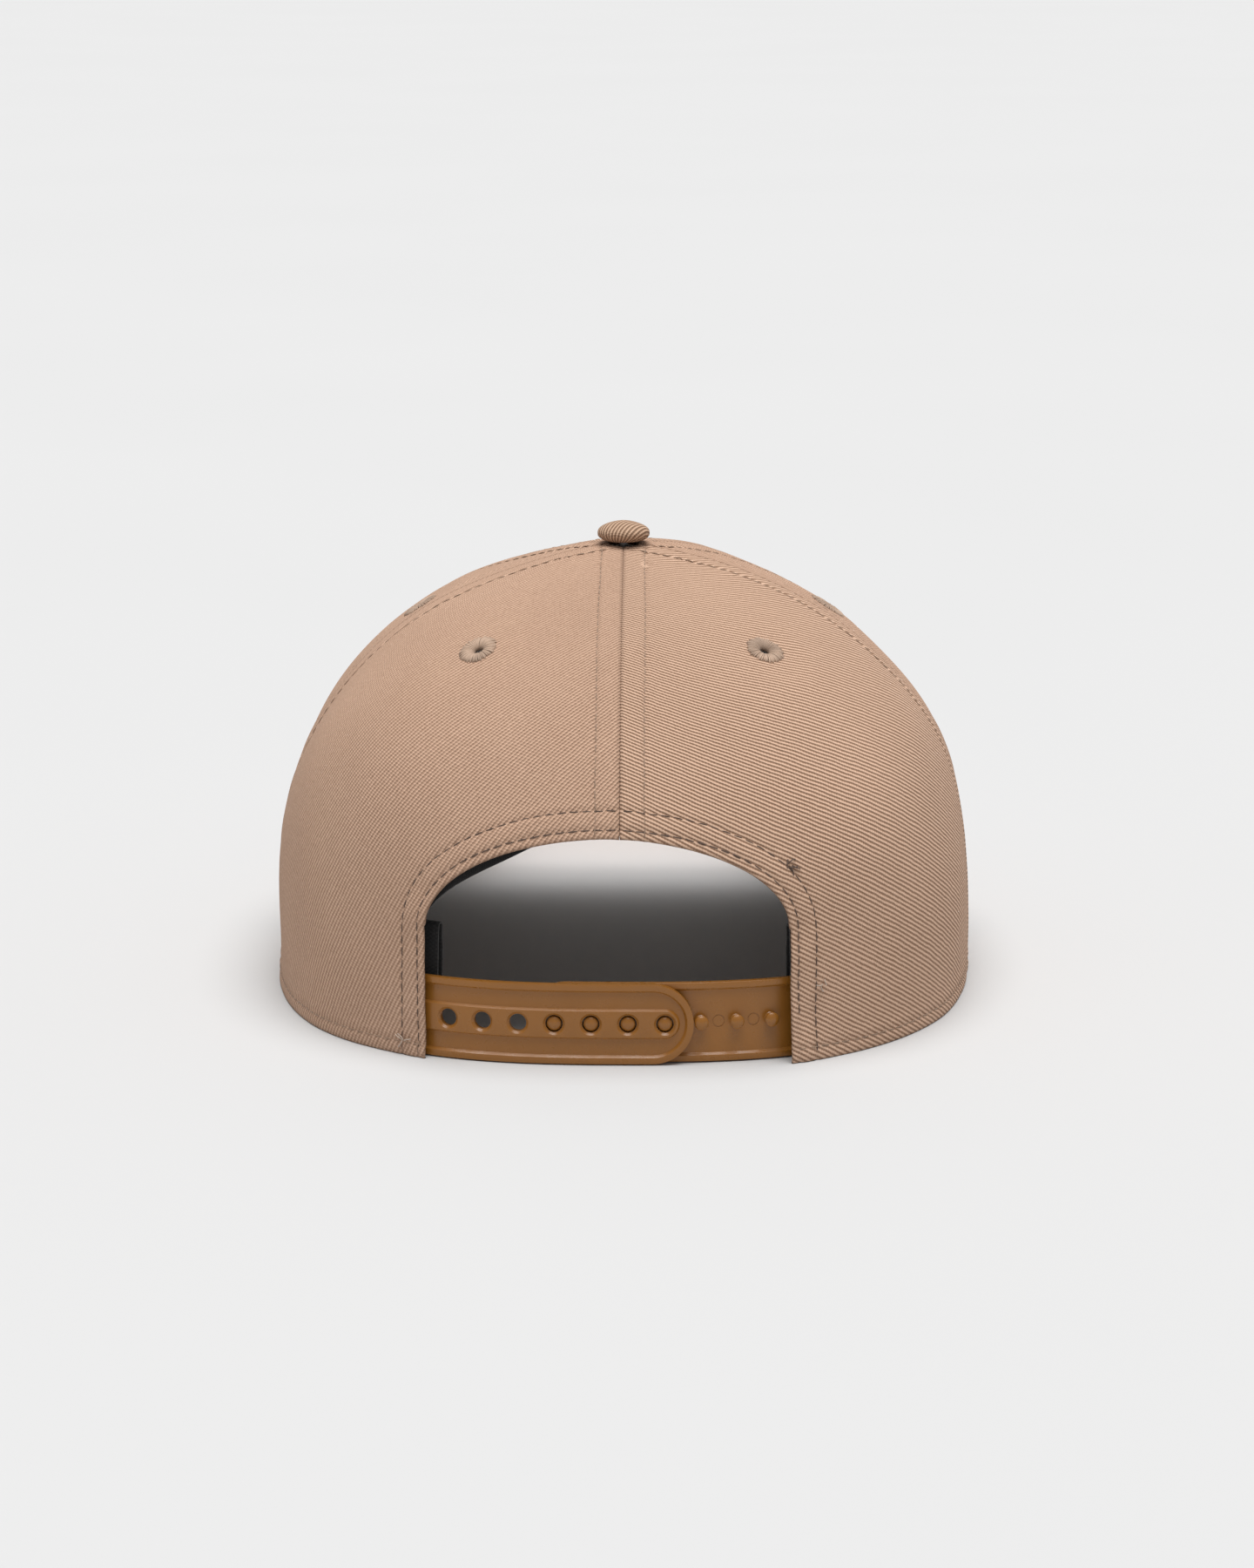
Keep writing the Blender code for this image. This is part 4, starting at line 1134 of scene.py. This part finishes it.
def scratch(shape):
    """A scratch object made of this bmesh."""
    bmesh.ops.recalc_face_normals(shape, faces=shape.faces)
    mesh = bpy.data.meshes.new("scratch")
    shape.to_mesh(mesh)
    shape.free()
    return add_object("scratch", mesh)


def solid(outline, low, high, top=None):
    """A scratch solid between two heights, over one outline or drawn out to another."""
    shape = bmesh.new()
    base = [shape.verts.new((x, y, low)) for x, y in outline]
    cover = [shape.verts.new((x, y, high)) for x, y in top or outline]
    for i in range(len(base)):
        j = (i + 1) % len(base)
        shape.faces.new((base[i], base[j], cover[j], cover[i]))
    shape.faces.new(base[::-1])
    shape.faces.new(cover)
    return scratch(shape)


def apply_modifiers(obj):
    bpy.context.view_layer.update()
    mesh = bpy.data.meshes.new_from_object(obj.evaluated_get(bpy.context.evaluated_depsgraph_get()))
    obj.modifiers.clear()
    obj.data = mesh


def carve(obj, operation, others):
    """Applies a Boolean with each scratch solid, and removes them."""
    for other in others:
        step = obj.modifiers.new("step", "BOOLEAN")
        step.operation = operation
        step.object = other
    apply_modifiers(obj)
    for other in others:
        bpy.data.objects.remove(other)


def soften(obj):
    """Rounds a moulding's edges."""
    rounding = obj.modifiers.new("rounding", "BEVEL")
    rounding.width = STRAP_ROUNDING
    rounding.segments = 3
    rounding.limit_method = "ANGLE"
    rounding.angle_limit = radians(35)
    rounding.use_clamp_overlap = True
    apply_modifiers(obj)


def turned(profile, x):
    """A scratch solid turned about an upright line at this arc length, from its (radius, height) points."""
    count = 36
    shape = bmesh.new()
    turns = np.arange(count) * 2 * pi / count
    rings = [
        [shape.verts.new((x + radius * cos(t), STRAP_MIDDLE + radius * sin(t), z)) for t in turns]
        for radius, z in profile
    ]
    for low, high in zip(rings, rings[1:]):
        for i in range(count):
            j = (i + 1) % count
            shape.faces.new((low[i], low[j], high[j], high[i]))
    shape.faces.new(rings[0][::-1])
    shape.faces.new(rings[-1])
    return scratch(shape)


def wrap_strap(obj, depth):
    """Bends a flat strap round the back: x is arc length, y is height and z how far out it stands."""
    shape = bmesh.new()
    shape.from_mesh(obj.data)
    low = min(vertex.co.x for vertex in shape.verts)
    high = max(vertex.co.x for vertex in shape.verts)
    for x in np.arange(low + STRAP_STEP, high, STRAP_STEP):
        everything = [*shape.verts, *shape.edges, *shape.faces]
        bmesh.ops.bisect_plane(shape, geom=everything, dist=1e-7, plane_co=(x, 0, 0), plane_no=(1, 0, 0))
    bmesh.ops.triangulate(shape, faces=[face for face in shape.faces if len(face.verts) > 4])
    flat = np.array([vertex.co for vertex in shape.verts])
    places = crown_point(azimuth_at(flat[:, 0]), rise_at_height(flat[:, 1]), depth - flat[:, 2])
    for vertex, place in zip(shape.verts, places):
        vertex.co = place
    bmesh.ops.reverse_faces(shape, faces=shape.faces)
    mesh = bpy.data.meshes.new(obj.name)
    shape.to_mesh(mesh)
    shape.free()
    mesh.shade_smooth()
    mesh.set_sharp_from_angle(angle=radians(40))
    mesh.materials.append(SNAP_PLASTIC)
    obj.data = mesh


def edge_arc(side):
    """Length along the back from its middle to an edge of the rear opening."""
    azimuth = float(azimuth_of_x(OPENING_SHIFT + side * OPENING_HALF_WIDTH, 0.0))
    return float(np.interp(azimuth, TABLE_AZIMUTHS, RIM_ARCS))


def strap_blank(side, tip):
    """The flat strap, from the end that is sewn in to its tip: a sheet with a raised rim."""
    root = edge_arc(side) + side * STRAP_ROOT
    half = STRAP_HEIGHT / 2
    blank = solid(strap_outline(root, tip, half, -side), 0, STRAP_TOP)
    deep, wide = (
        strap_outline(root + side * 0.01, tip + side * rim, half - rim, -side)
        for rim in (STRAP_RIM, STRAP_RIM - STRAP_DRAFT)
    )
    carve(blank, "DIFFERENCE", [solid(deep, STRAP_SHEET, STRAP_TOP + 0.0001, wide)])
    return blank, root


def add_strap_with_holes():
    tip = LAST_HOLE - TONGUE_END
    strap, root = strap_blank(1, tip)
    foot, top = (
        strap_outline(root, tip + STRAP_BAND_END + draft, STRAP_BAND_HEIGHT / 2 - draft, -1)
        for draft in (0.0, STRAP_DRAFT)
    )
    carve(strap, "UNION", [solid(foot, STRAP_SHEET - 0.0002, STRAP_TOP, top)])
    places = [LAST_HOLE + i * SNAP_PITCH for i in range(SNAP_COUNT)]
    carve(strap, "DIFFERENCE", [solid(disc_outline(x, HOLE_RADIUS), -0.001, 0.003) for x in places])
    sinks = []
    for x in places:
        narrow, wide = disc_outline(x, HOLE_RADIUS + 0.0001), disc_outline(x, COUNTERBORE_RADIUS)
        sinks.append(solid(narrow, STRAP_TOP - 0.0006, STRAP_TOP + 0.0001, wide))
    carve(strap, "DIFFERENCE", sinks)
    soften(strap)
    wrap_strap(strap, HOLES_DEPTH)
    place_strap(strap, "snap_strap_holes")


def add_strap_with_pegs():
    last_peg = LAST_HOLE + (SNAPS_CLOSED - 1) * SNAP_PITCH
    strap, _ = strap_blank(-1, last_peg + TONGUE_END)
    soften(strap)
    profile = [
        (0.0002, PEG_TOP),
        (0.0007, PEG_TOP - 0.00007),
        (0.0012, PEG_TOP - 0.00026),
        (0.0016, PEG_TOP - 0.00050),
        (PEG_HEAD_RADIUS, PEG_TOP - 0.00072),
        (PEG_HEAD_RADIUS, PEG_TOP - 0.00100),
        (PEG_RADIUS, PEG_TOP - 0.00125),
        (PEG_RADIUS, STRAP_SHEET + 0.0002),
        (PEG_RADIUS + 0.0002, STRAP_SHEET),
        (PEG_RADIUS + 0.0002, STRAP_SHEET - 0.0003),
    ]
    pegs = [turned(profile, last_peg - i * SNAP_PITCH) for i in range(SNAP_COUNT)]
    carve(strap, "UNION", pegs)
    marks = [last_peg - (i + 0.5) * SNAP_PITCH for i in range(SNAP_COUNT - 1)]
    rings = []
    for x in marks:
        ring = solid(disc_outline(x, MARK_RADIUS), STRAP_SHEET - 0.00012, STRAP_SHEET + 0.001)
        carve(ring, "DIFFERENCE", [solid(disc_outline(x, MARK_RADIUS - MARK_LINE), 0, 0.003)])
        rings.append(ring)
    carve(strap, "DIFFERENCE", rings)
    wrap_strap(strap, PEGS_DEPTH)
    place_strap(strap, "snap_strap_pegs")


def place_strap(strap, node):
    """One moulding, sewn in at its root: names it, bakes its placement and hides the frame's strap and its
    root.
    """
    strap.name = node + "_moulding"
    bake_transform(strap)
    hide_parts(node, node + "_root")


# ---- Visor


def visor_corner_turn():
    """The turn at which the visor's outer edge meets the crown."""
    return pi - float(np.arcsin(surface(pi - VISOR_HALF_ANGLE, 0.0)[0] / VISOR_HALF_WIDTH))


def visor_edge(turn):
    """The visor's outer edge in plan: turn is 0 at its front."""
    turn = np.asarray(turn, float)
    power = 2 / VISOR_FULLNESS
    ahead = abs(turn) <= pi / 2
    sine, cosine = abs(np.sin(turn)), np.maximum(np.cos(turn), 0)
    across = np.where(ahead, sine**power, sine)
    reach = surface(pi - VISOR_HALF_ANGLE, 0.0)[1] - VISOR_WIDEST
    y_ahead = VISOR_WIDEST + (VISOR_FRONT - VISOR_WIDEST) * cosine**power
    y_behind = VISOR_WIDEST + reach * np.cos(turn) / cos(visor_corner_turn())
    x = np.sign(turn) * VISOR_HALF_WIDTH * across
    return np.stack([x, np.where(ahead, y_ahead, y_behind), np.zeros_like(x)], -1)


def on_visor(u, v, offset, beyond=0.0):
    """A point off the visor's middle surface: u from -1 to 1 across, v from the crown out to the edge."""
    u, v = np.broadcast_arrays(np.asarray(u, float), np.asarray(v, float))
    inner = crown_point(pi - u * VISOR_HALF_ANGLE, 0.0, np.full(u.shape, VISOR_SEAM_DEPTH))
    outer = visor_edge(u * visor_corner_turn())
    at = lerp(inner, outer, v[..., None])
    out = unit(outer - inner)
    x, y = at[..., 0], at[..., 1]
    step = 1e-4
    slope_x = (visor_height(x + step, y) - visor_height(x - step, y)) / (2 * step)
    slope_y = (visor_height(x, y + step) - visor_height(x, y - step)) / (2 * step)
    normal = unit(np.stack([-slope_x, -slope_y, np.ones_like(x)], -1))
    at = np.stack([x, y, visor_height(x, y)], -1)
    return at + out * np.asarray(beyond)[..., None] + normal * np.asarray(offset)[..., None]


def add_visor_cover(name, face, turn):
    """One cover: cloth laid over the board, quilted by rows of stitching, and rolled down over its edge."""
    columns, rows = 230, 104
    end_turns = np.radians([30, 60, 88])
    u = np.pad(np.linspace(-1, 1, columns)[::-1] * 0.999, len(end_turns), "edge")
    ends = np.concatenate([end_turns[::-1], np.zeros(columns), end_turns])  # the roll round the two corners
    roll_turns = np.radians([14, 30, 46, 62, 76, 84, 89])
    v = np.pad(np.linspace(0, 0.975, rows), (0, len(roll_turns)), "edge")
    turns = np.concatenate([np.zeros(rows), roll_turns])
    grid_u, grid_v = np.broadcast_arrays(u, v[:, None])
    roll = VISOR_HALF_THICKNESS
    flat = on_visor(grid_u, grid_v, np.zeros(grid_u.shape))
    edge_line = resample(visor_edge(np.linspace(-1, 1, 900) * visor_corner_turn()), LINE_STEP)
    plan = flat.reshape(-1, 3) * (1, 1, 0)
    distance, along = from_line(plan, edge_line)
    height, painted_shade = np.zeros(len(plan)), np.zeros(len(plan))
    # Each row presses a furrow into the cloth and lays painted shade along it
    for row in VISOR_ROWS:
        height += furrow(distance, along, row)
        painted_shade = np.maximum(painted_shade, row_shade(distance, row))
    height += 0.00018 * ripple(plan, FINE) + 0.0002 * ripple(plan, BROAD)
    height = height.reshape(grid_u.shape) * np.cos(turns)[:, None] ** 2
    offset = face * (roll * np.cos(turns)[:, None] + height) * np.cos(ends)
    points = on_visor(grid_u, grid_v, offset, roll * np.sin(turns)[:, None] * np.cos(ends))
    points[..., 1] += roll * np.sin(ends)
    points = points.reshape(-1, 3)
    points[:, 2] = np.maximum(points[:, 2], 0)  # its two corners rest flat on the ground
    faces = grid_faces(*grid_u.shape)
    if face < 0:
        faces = faces[:, ::-1]
    down = np.where(turns > 0, roll * turns, 0)[:, None]
    flat_uv = np.stack([-flat[..., 0], down - flat[..., 1] - roll * ends], -1).reshape(-1, 2)
    obj = add_mesh(name + "_cloth", points, faces, TWILL, turned_weave(flat_uv, turn), painted_shade)
    thicken(obj, VISOR_CLOTH)
    finish_piece(obj, [name])
    declare_cloth(flat_uv)
    cloth = Cloth(points, faces)
    stitched = []
    for row in VISOR_ROWS:
        line = inset_line(edge_line, row)
        raised = np.stack([line[:, 0], line[:, 1], visor_height(line[:, 0], line[:, 1]) + face * roll], -1)
        stitched.append(cloth.near(resample(raised, VISOR_STITCH), STITCH_REACH))
    add_stitches("stitches_" + name, stitched, TAN_THREAD)


def inset_line(line, distance):
    """A line in plan moved in from the visor's edge, as far as it stays clear of the crown."""
    ways = unit(np.gradient(line, axis=0))
    inward = np.cross((0, 0, 1), ways)
    inward *= np.sign((-line * inward).sum(-1).mean())
    moved = line + inward * distance
    azimuth = np.arctan2(moved[:, 0], moved[:, 1])
    crown = np.linalg.norm(surface(azimuth, 0.0)[:, :2], axis=1)
    clear = np.linalg.norm(moved[:, :2], axis=1) > crown + 0.0010
    gaps, _ = from_line(moved, line)
    return moved[clear & (gaps > distance * 0.97) & (moved[:, 1] < surface(pi - VISOR_HALF_ANGLE, 0.0)[1])]


# ---- Eyelets and top button


def add_eyelets():
    """Embroidered rings: satin stitches laid side by side through the hole and over the cloth's edge."""
    hole, reach = EYELET_HOLE, EYELET_REACH
    # One stitch's path as (radius, height): under the cloth, up through the hole and out over the top
    under = [(reach - 0.0006, -0.00135), (0.0036, -0.0018), (0.0024, -0.0019)]
    over = [(hole, -0.0011), (hole - 0.0001, -0.0004), (hole + 0.0005, 0.00018), (0.0028, 0.00042)]
    out = [(0.0039, 0.00036), (reach - 0.0003, 0.00014), (reach, -0.0004)]
    path = resample(np.array([(r, 0, z) for r, z in under + over + out]), 0.0001)
    shares = np.linspace(0, 1, 16)
    lengths = arcs_along(path)
    radii, heights = (np.interp(shares * lengths[-1], lengths, path[:, i]) for i in (0, 2))
    girth = 0.00011 + 0.00015 * smooth((radii - hole) / 0.003)
    for place in EYELET_AZIMUTHS:
        for side, name in ((1, "left"), (-1, "right")):
            centre, normal = eyelet_place(place, side)
            right, upward = across_and_up(normal)
            satin = Threads(len(shares))
            for i in range(EYELET_STITCHES):
                bearing = 2 * pi * (i + RANDOM.uniform(-0.22, 0.22)) / EYELET_STITCHES
                stretch = 1 + RANDOM.uniform(-0.08, 0.06)
                lift = RANDOM.uniform(-0.00006, 0.00006)
                radial = right * cos(bearing) + upward * sin(bearing)
                beside = np.cross(normal, radial)
                radius = radii * np.where(radii > 0.003, stretch, 1)
                middle = centre + radial * radius[:, None] + normal * (heights + lift)[:, None]
                up = unit(np.cross(beside, unit(np.gradient(middle, axis=0))))
                satin.add(middle, beside, up, girth, 0.5 + 0.24 * (shares - 0.5))
            node = f"eyelet_{place}_{name}"
            satin.finish(node + "_embroidery", EYELET_THREAD, [node])


def add_button():
    """The button's cloth, drawn tight over its shell and gathered in small folds under its rim."""
    low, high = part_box("button_cover")
    radius, base, top = high.x, low.z, high.z
    columns = 120
    pleats = 22
    turns = np.linspace(0, pi / 2, 16)
    belly = 0.0026  # height of its widest part
    dome = [(radius * sin(t), base + belly + (top - base - belly) * cos(t)) for t in turns[1:]]
    # The gathered cloth below, as (share of the radius, height)
    under = ((0.985, 0.0018), (0.92, 0.0012), (0.82, 0.0007), (0.68, 0.0003))
    profile = np.array(dome + [(radius * share, base + height) for share, height in under])
    angle = np.arange(columns) * 2 * pi / columns
    pleat = np.cos(angle * pleats + 1.3 * np.sin(angle * 3))
    share = smooth((base + belly + 0.0004 - profile[:, 1]) / 0.0018)[:, None]
    reach = profile[:, 0][:, None] * (1 + 0.020 * share * pleat)
    x, y = reach * np.sin(angle), reach * np.cos(angle)
    z = profile[:, 1][:, None] + 0 * x + 0.00010 * ripple(np.stack([x, y, 0 * x], -1) * 6, BROAD)
    points = np.stack([x, y, z], -1).reshape(-1, 3)
    points = np.concatenate([points, [[0, 0, top]]])
    faces = [list(quad) for quad in grid_faces(len(profile), columns, closed=True)[:, ::-1]]
    apex = len(points) - 1
    faces += [[i, (i + 1) % columns, apex][::-1] for i in range(columns)]
    drape = arcs_along(np.concatenate([[[0, 0, top]], points[::columns][: len(profile)]]))[1:]
    flat = np.stack([drape[:, None] * np.sin(angle), drape[:, None] * np.cos(angle)], -1).reshape(-1, 2)
    uv = np.concatenate([flat, [[0, 0]]])
    # Painted shade under the button's gathered rim
    painted_shade = np.concatenate([np.repeat(smooth((base + 0.0019 - profile[:, 1]) / 0.001) * 0.6, columns), [0]])
    # The cover takes the darker twill copy, with its painted shade
    obj = add_mesh("button_cover_cloth", points, faces, TWILL_BUTTON_SHADED, uv, painted_shade)
    thicken(obj, BUTTON_CLOTH)
    finish_piece(obj, ["button_cover"])
    reach = float(drape[-1])


# ---- Stage


def add_stage():
    world = bpy.data.worlds.new("studio")
    world.use_nodes = True
    background = world.node_tree.nodes["Background"]
    background.inputs["Color"].default_value = (1, 1, 1, 1)
    background.inputs["Strength"].default_value = 0.36
    bpy.context.scene.world = world
    bpy.context.scene.view_settings.view_transform = "Standard"

    mesh = bpy.data.meshes.new("floor")
    shape = bmesh.new()
    bmesh.ops.create_grid(shape, x_segments=2, y_segments=2, size=60)
    shape.to_mesh(mesh)
    shape.free()
    paper = Surface("paper", 0.9, specular=0.1)
    tone = paper.blend(paper.noise(3.0, 2.0), (0.595, 0.595, 0.595), (0.610, 0.610, 0.610))
    mesh.materials.append(paper.feed(tone))
    floor = add_object("floor", mesh)


def add_light(name, direction, strength, spread):
    """A soft far light that shines from this direction."""
    lamp = bpy.data.lights.new(name, "SUN")
    lamp.energy = strength
    lamp.angle = spread
    obj = add_object(name, lamp)
    obj.rotation_mode = "QUATERNION"
    obj.rotation_quaternion = Vector(direction).to_track_quat("Z", "Y")


def add_lamp(name, place, width, depth, power):
    """A soft lamp that shines straight down and isn't seen itself."""
    lamp = bpy.data.lights.new(name, "AREA")
    lamp.shape = "RECTANGLE"
    lamp.size = width
    lamp.size_y = depth
    lamp.energy = power
    obj = add_object(name, lamp)
    obj.location = place
    obj.visible_camera = False


def add_camera():
    """Behind the cap and a little above it, with a short telephoto lens."""
    lens = bpy.data.cameras.new("camera")
    lens.sensor_width = 36.0
    lens.lens = 87.7
    lens.clip_end = 100
    camera = add_object("camera", lens)
    place, target = Vector((-0.0113, 1.0, 0.291)), Vector((-0.0009, 0.0, 0.0480))
    camera.location = place
    camera.rotation_mode = "QUATERNION"
    camera.rotation_quaternion = (target - place).to_track_quat("-Z", "Y")
    bpy.context.scene.camera = camera


add_camera()
add_stage()
add_light("key", (-0.05, 0.09, 1.0), 3.35, radians(50))
# The paper inside the cap is lit under the raised front of the visor, and a little from all round
add_lamp("under_visor", (0, -0.130, 0.0115), 0.086, 0.072, 0.0205)
add_lamp("under_rim", (0, -0.0835, 0.0200), 0.090, 0.017, 0.0066)
add_lamp("under_crown", (0, -0.020, 0.085), 0.060, 0.060, 0.0035)
add_crown()
add_tapes()
add_facing()
add_buckram()
add_sweatband()
add_strap_with_holes()
add_strap_with_pegs()
add_visor_cover("visor_top_cover", 1, 0.0)
add_visor_cover("visor_under_cover", -1, ACROSS)
add_eyelets()
add_button()
add_loose_ends()
for node, material in (
    ("visor_board", BOARD_PLASTIC),
    ("sweatband_core", FOAM),
    ("button_shell", STEEL),
    ("button_stud", STEEL),
    ("button_washer", STEEL),
):
    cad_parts[node].data.materials.clear()
    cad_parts[node].data.materials.append(material)
